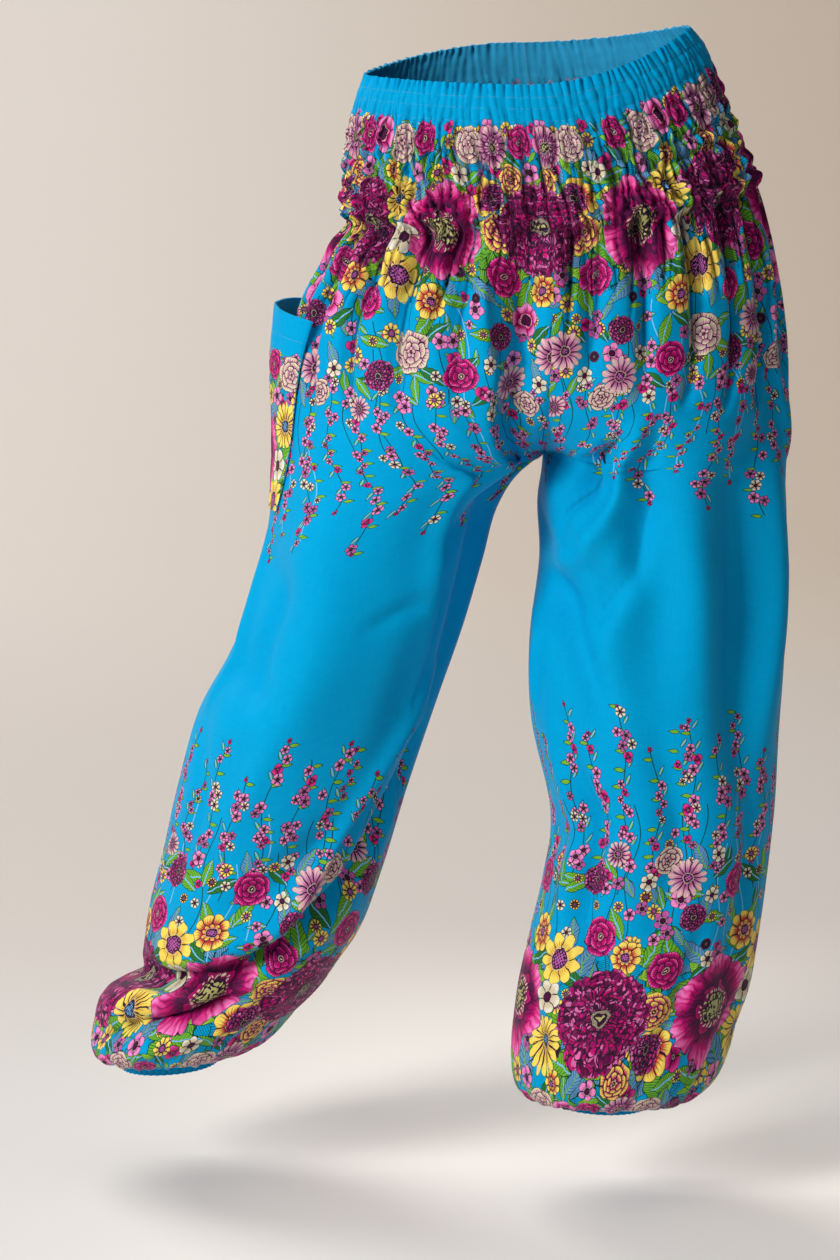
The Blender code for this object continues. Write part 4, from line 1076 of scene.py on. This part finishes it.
def bloom_group(colours):
    """A drawn flower in its own round coordinates: rings of petals with hatching, inked edges and an eye."""
    tree, entry, leave = new_group("Printed bloom", ("Place", "Wobble"),
                                   (("Colour", "NodeSocketColor"), ("Cover", "NodeSocketFloat")))
    n = Nodes(tree)
    kind = n.split(entry.outputs["Place"])[2]
    place = n.vector("ADD", n.vector("MULTIPLY", entry.outputs["Place"], (1, 1, 0)), entry.outputs["Wobble"])
    p, q, _ = n.split(place)
    table = [dict(zip(KIND_COLUMNS, row)) for row in KINDS]
    form = n.split(n.steps(kind, [(row["petals"] / 32, row["rings"] / 8, row["eye"]) for row in table]))
    petals, rings, eye = n.math("MULTIPLY", form[0], 32.0), n.math("MULTIPLY", form[1], 8.0), form[2]
    reach = n.vector("LENGTH", place)
    turn = n.math("MULTIPLY", n.math("MULTIPLY", n.math("ARCTAN2", q, p), petals), 0.5)
    ring = n.math("MULTIPLY", reach, rings)
    first = n.math("FLOOR", ring)
    beyond = n.math("FRACT", ring)
    half = math.pi / 2
    lobe = n.math("ABSOLUTE", n.math("SINE", n.math("MULTIPLY_ADD", first, half, turn)))
    tip = n.math("MULTIPLY_ADD", n.math("SQRT", lobe), 0.42, 0.58)
    over = n.math("GREATER_THAN", beyond, tip)
    number = n.math("ADD", first, over)
    swell = n.math("ABSOLUTE", n.math("SINE", n.math("MULTIPLY_ADD", number, half, turn)))
    along = n.math("DIVIDE", n.math("ADD", n.math("SUBTRACT", ring, number), 0.42), 1.42)
    cover = n.math("LESS_THAN", number, n.math("SUBTRACT", rings, 0.5))
    width = line_width(n, kind, KIND_STEPS)
    tip_line = n.math("ABSOLUTE", n.math("SUBTRACT", beyond, tip))
    tip_line = n.math("LESS_THAN", tip_line, n.math("MULTIPLY", width, rings))
    side_line = n.math("MULTIPLY", n.math("MULTIPLY", width, petals), 0.5)
    side_line = n.math("LESS_THAN", n.math("MULTIPLY", swell, reach), side_line)
    line = n.math("MAXIMUM", tip_line, side_line)
    angle = n.math("ARCTAN2", q, p)
    stroke = n.math("SINE", n.math("MULTIPLY_ADD", angle, 37.0, n.math("MULTIPLY", reach, 7.0)))
    hatch = n.math("GREATER_THAN", stroke, n.math("MULTIPLY_ADD", along, 1.6, -0.25))
    outer = n.math("MAXIMUM", n.math("MULTIPLY_ADD", along, 1.45, -0.45), 0.0)
    near_eye = n.math("MULTIPLY", n.math("SUBTRACT", reach, eye), 2.2)
    near_eye = n.math("MINIMUM", n.math("MAXIMUM", near_eye, 0.2), 1.0)
    outer = n.math("MULTIPLY", outer, near_eye)
    body = n.math("MINIMUM", n.math("MULTIPLY", outer, 2.1), 1.0)
    petal = n.mix(body, n.steps(kind, [colours[row["base"]] for row in table]),
                  n.steps(kind, [colours[row["tip"]] for row in table]))
    light = n.math("MAXIMUM", n.math("MULTIPLY_ADD", outer, 2.3, -0.95), 0.0)
    light = n.math("MULTIPLY", n.math("MULTIPLY", light, swell), n.math("MULTIPLY_ADD", stroke, -0.4, 0.6))
    petal = n.mix(light, petal, n.steps(kind, [colours[row["light"]] for row in table]))
    wedge = n.math("MULTIPLY", n.math("MAXIMUM", n.math("MULTIPLY_ADD", swell, -1.7, 1.0), 0.0), 0.75)
    petal = n.mix(wedge, petal, n.steps(kind, [colours[row["base"]] for row in table]))
    petal = n.mix(n.math("MULTIPLY", hatch, 0.6), petal, colours["ink"])
    cells = n.vector("MULTIPLY", place, (1, 1, 0))
    fineness = n.add("ShaderNodeCombineXYZ", None, X=rings, Y=rings).outputs[0]
    cells = n.vector("MULTIPLY", cells, fineness)
    florets = n.add("ShaderNodeTexVoronoi", {"voronoi_dimensions": "2D"}, Vector=cells, Scale=1.35)
    chance = n.split(florets.outputs["Color"])
    speck = n.mix(n.math("GREATER_THAN", chance[0], 0.45), colours["plum"], colours["wine"])
    speck = n.mix(n.math("GREATER_THAN", chance[1], 0.62), speck, colours["magenta"])
    speck = n.mix(n.math("MULTIPLY", n.math("GREATER_THAN", chance[2], 0.68), 0.75), speck, colours["rose"])
    speck = n.mix(n.math("GREATER_THAN", florets.outputs["Distance"], 0.46), speck, colours["ink"])
    fine = n.math("GREATER_THAN", rings, 4.5)
    petal = n.mix(n.math("MULTIPLY", fine, 0.7), petal, speck)
    petal = n.mix(line, petal, colours["ink"])
    dots = [n.math("SINE", n.math("MULTIPLY", way, 40.0)) for way in (p, q)]
    dots = n.math("MULTIPLY", *dots)
    deep = n.math("LESS_THAN", reach, n.math("MULTIPLY", eye, 0.5))
    dark = n.math("GREATER_THAN", dots, n.math("MULTIPLY_ADD", deep, 0.35, -0.12))
    centre = n.mix(dark, n.steps(kind, [colours[row["centre"]] for row in table]), colours["ink"])
    petal = n.mix(n.math("LESS_THAN", reach, eye), petal, centre)
    outside = n.math("SUBTRACT", reach, eye)
    rim = n.math("LESS_THAN", n.math("ABSOLUTE", outside), width)
    petal = n.mix(rim, petal, colours["ink"])
    stamens = n.math("LESS_THAN", n.math("ABSOLUTE", n.math("SUBTRACT", outside, 0.06)), 0.03)
    spokes = n.math("GREATER_THAN", n.math("SINE", n.math("MULTIPLY", turn, 8.0)), 0.2)
    stamens = n.math("MULTIPLY", stamens, spokes)
    petal = n.mix(n.math("MULTIPLY", stamens, 0.8), petal, colours["cream"])
    n.feed(leave.inputs["Colour"], petal)
    n.feed(leave.inputs["Cover"], cover)


def leaf_group(colours):
    """A drawn leaf: a pointed outline, a pale midrib and slanting veins."""
    tree, entry, leave = new_group("Printed leaf", ("Place", "Wobble"),
                                   (("Colour", "NodeSocketColor"), ("Cover", "NodeSocketFloat")))
    n = Nodes(tree)
    kind = n.split(entry.outputs["Place"])[2]
    place = n.vector("ADD", n.vector("MULTIPLY", entry.outputs["Place"], (1, 1, 0)), entry.outputs["Wobble"])
    p, q, _ = n.split(place)
    side = n.math("ABSOLUTE", q)
    body = n.math("SUBTRACT", 1.0, n.math("MULTIPLY", p, p))
    width = n.math("MULTIPLY", body, n.math("MULTIPLY_ADD", p, -0.10, 0.36))
    cover = n.math("LESS_THAN", side, width)
    line = line_width(n, kind, len(LEAF_COLOURS))
    edge = n.math("GREATER_THAN", side, n.math("SUBTRACT", width, line))
    rib = n.math("LESS_THAN", side, line)
    veins = n.math("MULTIPLY", n.math("SUBTRACT", p, side), 34.0)
    veins = n.math("GREATER_THAN", n.math("SINE", veins), 0.45)
    body_colour = n.steps(kind, [colours[name] for name in ("green", "dark_green", "steel", "lime")])
    rib_colour = n.steps(kind, [colours[name] for name in ("sky", "sky", "green", "green")])
    colour = n.mix(n.math("MULTIPLY", veins, 0.6), body_colour, colours["forest"])
    colour = n.mix(rib, colour, rib_colour)
    colour = n.mix(edge, colour, colours["forest"])
    n.feed(leave.inputs["Colour"], colour)
    n.feed(leave.inputs["Cover"], cover)


def with_foliage(n, uv, wobble, colour, colours):
    """Small overlapping leaves with drawn veins that fill the border's gaps."""
    _, down, _ = n.split(uv)
    height = n.math("MINIMUM", down, n.math("SUBTRACT", FOLIAGE_LENGTH, down))
    loose = n.math("MULTIPLY", n.math("SUBTRACT", n.split(wobble)[0], 0.5), 0.05)
    height = n.math("ADD", height, loose)
    start = n.math("GREATER_THAN", height, 0.050)
    end = n.math("LESS_THAN", height, 0.19)
    place = n.vector("MULTIPLY", uv, (1.0, 0.62, 0.0))
    place = n.vector("ADD", place, n.vector("MULTIPLY", wobble, (0.008, 0.008, 0.0)))
    flat = {"voronoi_dimensions": "2D"}
    cells = n.add("ShaderNodeTexVoronoi", flat, Vector=place, Scale=FOLIAGE_SCALE)
    flat["feature"] = "DISTANCE_TO_EDGE"
    edges = n.add("ShaderNodeTexVoronoi", flat, Vector=place, Scale=FOLIAGE_SCALE)
    cell = n.split(cells.outputs["Color"])
    way = n.vector("SUBTRACT", cells.outputs["Color"], (0.5, 0.5, 0.5))
    way = n.vector("NORMALIZE", n.vector("MULTIPLY", way, (1, 1, 0)))
    veins = n.math("SINE", n.math("MULTIPLY", n.vector("DOT_PRODUCT", uv, way), 3300.0))
    kinds = ("green", "steel", "cloth", "dark_green", "steel", "cloth", "green", "steel")
    leaf = n.steps(cell[2], [colours[name] for name in kinds])
    leaf = n.mix(n.math("MULTIPLY", n.math("GREATER_THAN", veins, 0.25), 0.7), leaf, colours["forest"])
    leaf = n.mix(n.math("LESS_THAN", edges.outputs["Distance"], 0.05), leaf, colours["forest"])
    bare = [n.math("GREATER_THAN", n.math("FRACT", n.math("MULTIPLY", cell[2], share)), 0.5)
            for share in (4.0, 2.0)]
    bare = n.math("MULTIPLY", *bare)
    cover = n.math("MULTIPLY", n.math("MULTIPLY", start, end), n.math("SUBTRACT", 1.0, bare))
    return n.mix(cover, colour, leaf)


def with_print(n, wobble, colour, colours):
    """The cloth's colour with the stems, leaves and blooms of the border over it."""
    for k in range(STEM_LAYERS):
        across, along, phase = n.split(n.attribute(f"stem_{k}").outputs["Vector"])
        bend = n.math("MULTIPLY", along, STEM_SCALE / SPRIG_LENGTH)
        bend = n.math("MULTIPLY_ADD", phase, 2 * math.pi, bend)
        bend = n.math("MULTIPLY", n.math("SINE", bend), SPRIG_WAVE / STEM_SCALE)
        stem = n.math("LESS_THAN", n.math("ABSOLUTE", n.math("SUBTRACT", across, bend)), 0.024)
        inked = n.math("LESS_THAN", phase, 0.75)
        colour = n.mix(stem, colour, n.mix(inked, colours["sky"], colours["forest"]))
    wobble = n.vector("MULTIPLY", n.vector("SUBTRACT", wobble, (0.5, 0.5, 0.5)), (0.22, 0.22, 0.0))
    pinched = n.vector("MULTIPLY", n.attribute("hollow_depth").outputs["Vector"], (0.32, 0.0, 0.0))
    wobble = n.vector("ADD", wobble, pinched)
    for group, layers in (("leaf", LEAF_LAYERS), ("bloom", BLOOM_LAYERS)):
        shared = bpy.data.node_groups["Printed " + group]
        for k in range(layers):
            node = n.add("ShaderNodeGroup", {"node_tree": shared})
            n.feed(node.inputs["Place"], n.attribute(f"{group}_{k}").outputs["Vector"])
            n.feed(node.inputs["Wobble"], wobble)
            colour = n.mix(node.outputs["Cover"], colour, node.outputs["Colour"])
    return colour


def cloth_material(name, colours, stitches, printed):
    """Rayon: border print, weave, soft sheen, a paler wrong side, stitched rows and painted shade in the
    creases.
    """
    material = bpy.data.materials.new(name)
    material.use_nodes = True
    tree = material.node_tree
    n = Nodes(tree)
    shader = tree.nodes["Principled BSDF"]
    uv = n.add("ShaderNodeUVMap", {"uv_map": "cloth"}).outputs[0]
    across, down, _ = n.split(uv)
    flat = {"noise_dimensions": "2D"}
    noise = n.add("ShaderNodeTexNoise", flat, Vector=uv, Scale=95.0, Detail=1.0)
    broad = n.add("ShaderNodeTexNoise", flat, Vector=uv, Scale=9.0, Detail=3.0).outputs["Fac"]
    colour = n.mix(broad, colours["cloth_shade"], colours["cloth"])
    if printed:
        colour = with_foliage(n, uv, noise.outputs["Color"], colour, colours)
        colour = with_print(n, noise.outputs["Color"], colour, colours)
    wrong = n.attribute("wrong_side").outputs["Fac"]
    colour = n.mix(n.math("MULTIPLY", wrong, 0.62), colour, colours["wrong_side"])
    # Painted shade: a dark colour multiplied into the creases, the smocking's slits and the ankle's gathers.
    crease = n.attribute("hollow_depth").outputs["Fac"]
    colour = n.mix(n.math("MULTIPLY", crease, 0.9), colour, colours["crease"], "MULTIPLY")
    lines = None
    for row in stitches:
        near = n.math("ABSOLUTE", n.math("SUBTRACT", down, row * MM))
        near = n.math("LESS_THAN", near, STITCH_HALF_WIDTH)
        lines = near if lines is None else n.math("MAXIMUM", lines, near)
    dash = n.math("GREATER_THAN", n.math("SINE", n.math("MULTIPLY", across, 2200.0)), -0.35)
    shown = n.math("LESS_THAN", n.math("ADD", n.math("MULTIPLY", crease, 2.5), broad), 0.62)
    shown = n.math("MULTIPLY", shown, n.math("SUBTRACT", 1.0, wrong))
    thread = n.math("MULTIPLY", n.math("MULTIPLY", lines, dash), shown)
    colour = n.mix(n.math("MULTIPLY", thread, 0.5), colour, colours["thread"])
    weft = n.math("SINE", n.math("MULTIPLY", across, WEAVE_TURNS))
    warp = n.math("SINE", n.math("MULTIPLY", down, WEAVE_TURNS))
    weave = n.math("MULTIPLY", weft, warp)
    slubs = []
    for stretch in ((60.0, 1500.0, 1.0), (1500.0, 60.0, 1.0)):
        drawn = n.vector("MULTIPLY", uv, stretch)
        slub = n.add("ShaderNodeTexNoise", flat, Vector=drawn, Scale=1.0, Detail=1.0)
        slubs.append(slub.outputs["Fac"])
    slub = n.math("SUBTRACT", n.math("ADD", *slubs), 0.72)
    slub = n.math("ADD", n.math("MULTIPLY", slub, 0.55), n.math("MULTIPLY", weave, 0.05))
    slub = n.math("MAXIMUM", slub, 0.0)
    colour = n.mix(slub, colour, (0.45, 0.62, 0.80, 1.0), "MULTIPLY")
    relief = n.math("MULTIPLY_ADD", broad, 3.0, n.math("MULTIPLY", weave, 0.10))
    relief = n.math("MULTIPLY_ADD", noise.outputs["Fac"], 0.35, relief)
    bump = n.add("ShaderNodeBump", None, Height=relief, Strength=0.35, Distance=0.0012)
    n.feed(shader.inputs["Base Color"], colour)
    n.feed(shader.inputs["Normal"], bump.outputs[0])
    rough = n.math("MULTIPLY_ADD", broad, 0.12, 0.52)
    n.feed(shader.inputs["Roughness"], rough)
    shader.inputs["Sheen Weight"].default_value = 0.06
    shader.inputs["Sheen Roughness"].default_value = 0.45
    shader.inputs["Sheen Tint"].default_value = (0.08, 0.6, 1.0, 1.0)
    shader.inputs["Specular IOR Level"].default_value = 0.18
    shader.inputs["Specular Tint"].default_value = (0.06, 0.6, 1.0, 1.0)
    return material


def stage_material(name, colours):
    """Paper backdrop: a pale floor that turns into a warmer wall, darker to the right, with painted light
    and shade.
    """
    material = bpy.data.materials.new(name)
    material.use_nodes = True
    n = Nodes(material.node_tree)
    shader = material.node_tree.nodes["Principled BSDF"]
    place = n.add("ShaderNodeTexCoord").outputs["Object"]
    across, away, _ = n.split(place)
    noise = n.add("ShaderNodeTexNoise", None, Vector=place, Scale=0.7, Detail=2.0).outputs["Fac"]
    spans = []
    for value, low, high in ((across, -0.55, 0.0), (across, -1.0, 0.9), (away, 0.3, 1.3), (away, 1.6, 4.8)):
        span = n.add("ShaderNodeMapRange", {"interpolation_type": "SMOOTHSTEP"}, Value=value)
        span.inputs["From Min"].default_value, span.inputs["From Max"].default_value = low, high
        spans.append(span.outputs[0])
    # Painted light and shade: the floor darker at the left, where the key light is strongest, paler to the
    # right, where the garment's shadow falls, and darker behind; the wall darker to the right.
    near = n.mix(spans[0], colours["floor"], colours["floor_right"])
    wall = n.mix(spans[1], colours["wall"], colours["wall_right"])
    colour = n.mix(spans[3], n.mix(spans[2], near, colours["floor_back"]), wall)
    # A faint random mottle of the paper, in the right wall's colour.
    colour = n.mix(n.math("MULTIPLY", noise, 0.06), colour, colours["wall_right"], "MULTIPLY")
    n.feed(shader.inputs["Base Color"], colour)
    shader.inputs["Roughness"].default_value = 0.85
    return material


# ---------------------------------------------------------------- stage


def make_backdrop(material):
    """A floor that bends up into a wall."""
    floor_z, front_y, back_y, bend, wall_height, half_width = -1.066, -9.0, 7.5, 3.0, 9.0, 10.0
    profile = [(front_y, floor_z), (back_y - bend, floor_z)]
    for k in range(1, 13):
        angle = math.pi / 2 * k / 12
        profile.append((back_y - bend + bend * math.sin(angle), floor_z + bend * (1 - math.cos(angle))))
    profile.append((back_y, floor_z + wall_height))
    points = [(x, y, z) for y, z in profile for x in (-half_width, half_width)]
    faces = [(2 * k, 2 * k + 1, 2 * k + 3, 2 * k + 2) for k in range(len(profile) - 1)]
    mesh = bpy.data.meshes.new("studio_floor")
    mesh.from_pydata(points, [], faces)
    mesh.shade_smooth()
    mesh.materials.append(material)
    add_object("studio_floor", mesh)


# Square lights: name, place, aim, size, power and tint.
LIGHTS = (
    ("key", (-3.0, -2.9, 1.2), (0, 0, -0.45), 1.6, 204.0, (1.0, 0.98, 0.95)),
    ("fill", (-0.6, -4.6, 0.4), (0, 0, -0.3), 2.4, 5.0, (0.25, 0.5, 1.0)),
    ("top", (0.0, -0.6, 3.4), (0, -0.2, -0.8), 5.0, 50.0, (0.97, 0.97, 0.96)),
    ("backdrop", (-2.6, 3.6, 5.2), (0.2, 4.4, -1.0), 4.5, 320.0, (1.0, 0.97, 0.93)),
)


def make_light(name, place, aim, size, power, tint):
    """A square light that looks from its place at its aim."""
    data = bpy.data.lights.new(name, "AREA")
    data.shape, data.size, data.energy, data.color = "SQUARE", size, power, tint
    lamp = add_object(name, data)
    lamp.location = place
    way = np.array(aim) - np.array(place)
    yaw, pitch = math.atan2(way[1], way[0]), math.atan2(way[2], math.hypot(way[0], way[1]))
    lamp.rotation_euler = (math.pi / 2 + pitch, 0.0, yaw - math.pi / 2)


def make_camera():
    """A camera in front, a little above the waist, that looks slightly down."""
    data = bpy.data.cameras.new("camera")
    sensor, focal_pixels, picture_height, looks_down = 24, 4616, 1260, 8.53
    data.sensor_fit, data.sensor_height = "VERTICAL", sensor
    data.lens = sensor * focal_pixels / picture_height
    camera = add_object("camera", data)
    camera.location = (-0.0966, -4.2, 0.1)
    camera.rotation_euler = (math.pi / 2 - math.radians(looks_down), 0.0, 0.0)
    return camera


# ---------------------------------------------------------------- sizes and colours


class HaremPantsSizes(PropertyGroup):
    """Sizes that a user would change"""

    wall: FloatProperty(name="Cloth thickness", description="Thickness of each panel's wall",
                        default=0.0011, min=0.0005, max=0.003, unit="LENGTH")
    panel_width: FloatProperty(name="Panel width",
                               description="Width of each panel as cut, before it is gathered",
                               default=0.35, min=0.3, max=0.5, unit="LENGTH")
    puff: FloatProperty(name="Puff", description="Height of the puffs between rows of elastic thread",
                        default=0.002, min=0.0, max=0.004, unit="LENGTH")
    gathers: IntProperty(name="Gathers", description="Gathers across each panel at the waist",
                         default=34, min=12, max=40)
    columns: IntProperty(name="Columns", description="Columns of faces across each panel",
                         default=256, min=60, max=280)


COLOURS = {
    "cloth": ("Cloth", (0.0, 0.335, 0.62)),
    "cloth_shade": ("Cloth in its darker parts", (0.0, 0.29, 0.56)),
    "wrong_side": ("Wrong side of the cloth", (0.05, 0.36, 0.58)),
    # Painted shade, multiplied into the creases, the smocking's slits and the ankle's gathers.
    "crease": ("Painted shade in the creases", (0.10, 0.07, 0.15)),
    "thread": ("Elastic thread", (0.12, 0.25, 0.36)),
    "magenta": ("Magenta petals", (0.62, 0.0, 0.16)),
    "wine": ("Wine-red petals", (0.38, 0.0, 0.12)),
    "rose": ("Highlights of the largest petals", (0.95, 0.24, 0.56)),
    "pink": ("Pink petals", (0.82, 0.09, 0.34)),
    "plum": ("Plum petals", (0.10, 0.0, 0.045)),
    "mauve": ("Mauve petals", (0.36, 0.04, 0.20)),
    "blush": ("Blush petals", (0.66, 0.26, 0.40)),
    "lilac": ("Lilac petals", (0.46, 0.10, 0.34)),
    "cream": ("Cream petals", (0.72, 0.60, 0.40)),
    "white": ("Palest petals", (0.78, 0.80, 0.74)),
    "yellow": ("Yellow petals", (0.92, 0.66, 0.10)),
    "amber": ("Amber petals", (0.78, 0.42, 0.04)),
    "red": ("Red petals", (0.62, 0.03, 0.03)),
    "olive": ("Olive centres", (0.44, 0.40, 0.14)),
    "green": ("Green leaves", (0.15, 0.42, 0.015)),
    "dark_green": ("Dark green leaves", (0.03, 0.17, 0.02)),
    "lime": ("Lime leaves", (0.28, 0.55, 0.03)),
    "forest": ("Drawn lines of the leaves", (0.008, 0.04, 0.02)),
    "steel": ("Steel-blue leaves", (0.12, 0.30, 0.54)),
    "sky": ("Pale blue stems", (0.20, 0.48, 0.78)),
    "ink": ("Drawn lines of the flowers", (0.03, 0.004, 0.015)),
    # Painted light and shade of the backdrop: a paler floor to the right, a darker floor behind and a darker
    # wall to the right.
    "floor": ("Floor, left", (0.70, 0.68, 0.66)),
    "floor_right": ("Floor, right, painted light", (0.99, 0.945, 0.905)),
    "floor_back": ("Floor, back, painted shade", (0.66, 0.61, 0.575)),
    "wall": ("Wall, left", (0.80, 0.745, 0.70)),
    "wall_right": ("Wall, right, painted shade", (0.68, 0.585, 0.49)),
}


class HaremPantsColours(PropertyGroup):
    """Colours that a user would change"""

    __annotations__ = {
        key: FloatVectorProperty(name=words, description=f"Colour: {words.lower()}", subtype="COLOR", size=3,
                                 min=0.0, max=1.0, default=value)
        for key, (words, value) in COLOURS.items()
    }


def chosen_colours(context):
    """The colours of the sidebar, each with full opacity."""
    values = context.scene.harem_pants_colours
    return {key: tuple(getattr(values, key)) + (1.0,) for key in COLOURS}


def shared_material(context, name, stitches, printed=True):
    """One material by name, made the first time that a piece asks for it."""
    if name in bpy.data.materials:
        return bpy.data.materials[name]
    colours = chosen_colours(context)
    if "Printed bloom" not in bpy.data.node_groups:
        bloom_group(colours)
        leaf_group(colours)
    return cloth_material(name, colours, stitches, printed)


# ---------------------------------------------------------------- operators


class PANTS_OT_panels(Operator):
    """Make the front and back panels of both legs, smocked at the waist"""

    bl_idname = "harem_pants.panels"
    bl_label = "Front and back panels"

    def execute(self, context):
        material = shared_material(context, "Printed rayon, shirred", STITCH_ROWS)
        for side in SIDES:
            for face in FACES:
                make_panel(side, face, context.scene.harem_pants_sizes, material)
        return {"FINISHED"}


class PANTS_OT_pocket(Operator):
    """Make the patch pocket on the wearer's right hip"""

    bl_idname = "harem_pants.pocket"
    bl_label = "Patch pocket"

    def execute(self, context):
        material = shared_material(context, "Printed rayon, pocket", (22.0,))
        make_pocket(context.scene.harem_pants_sizes, material)
        return {"FINISHED"}


class PANTS_OT_casings(Operator):
    """Make the gathered hem casings of both ankles"""

    bl_idname = "harem_pants.casings"
    bl_label = "Hem casings"

    def execute(self, context):
        material = shared_material(context, "Plain rayon, casing", (12.0,), False)
        for side in SIDES:
            make_casing(side, material)
        return {"FINISHED"}


class PANTS_OT_stage(Operator):
    """Set the pale floor, the soft lights and the camera"""

    bl_idname = "harem_pants.stage"
    bl_label = "Stage"

    def execute(self, context):
        make_backdrop(stage_material("Studio paper", chosen_colours(context)))
        for row in LIGHTS:
            make_light(*row)
        world = bpy.data.worlds.new("Studio")
        world.use_nodes = True
        sky = world.node_tree.nodes["Background"].inputs
        sky["Color"].default_value, sky["Strength"].default_value = (0.6, 0.75, 1.0, 1.0), 0.04
        context.scene.world = world
        context.scene.camera = make_camera()
        context.scene.view_settings.view_transform = "Standard"
        return {"FINISHED"}


class PANTS_PT_sidebar(Panel):
    """Lists the pieces and the sizes and colours they are made with"""

    bl_idname = "PANTS_PT_sidebar"
    bl_label = "Harem pants"
    bl_space_type = "VIEW_3D"
    bl_region_type = "UI"
    bl_category = "Harem pants"

    def draw(self, context):
        for operator in OPERATORS:
            self.layout.operator(operator.bl_idname)
        for group in (context.scene.harem_pants_sizes, context.scene.harem_pants_colours):
            for name in group.__annotations__:
                self.layout.prop(group, name)


OPERATORS = (PANTS_OT_panels, PANTS_OT_pocket, PANTS_OT_casings, PANTS_OT_stage)
CLASSES = (HaremPantsSizes, HaremPantsColours) + OPERATORS + (PANTS_PT_sidebar,)


def register():
    for each in CLASSES:
        bpy.utils.register_class(each)
    bpy.types.Scene.harem_pants_sizes = PointerProperty(type=HaremPantsSizes)
    bpy.types.Scene.harem_pants_colours = PointerProperty(type=HaremPantsColours)


def unregister():
    del bpy.types.Scene.harem_pants_colours
    del bpy.types.Scene.harem_pants_sizes
    for each in reversed(CLASSES):
        bpy.utils.unregister_class(each)


def main():
    register()
    bpy.ops.harem_pants.panels()
    bpy.ops.harem_pants.pocket()
    bpy.ops.harem_pants.casings()
    bpy.ops.harem_pants.stage()


if __name__ == "__main__":
    main()
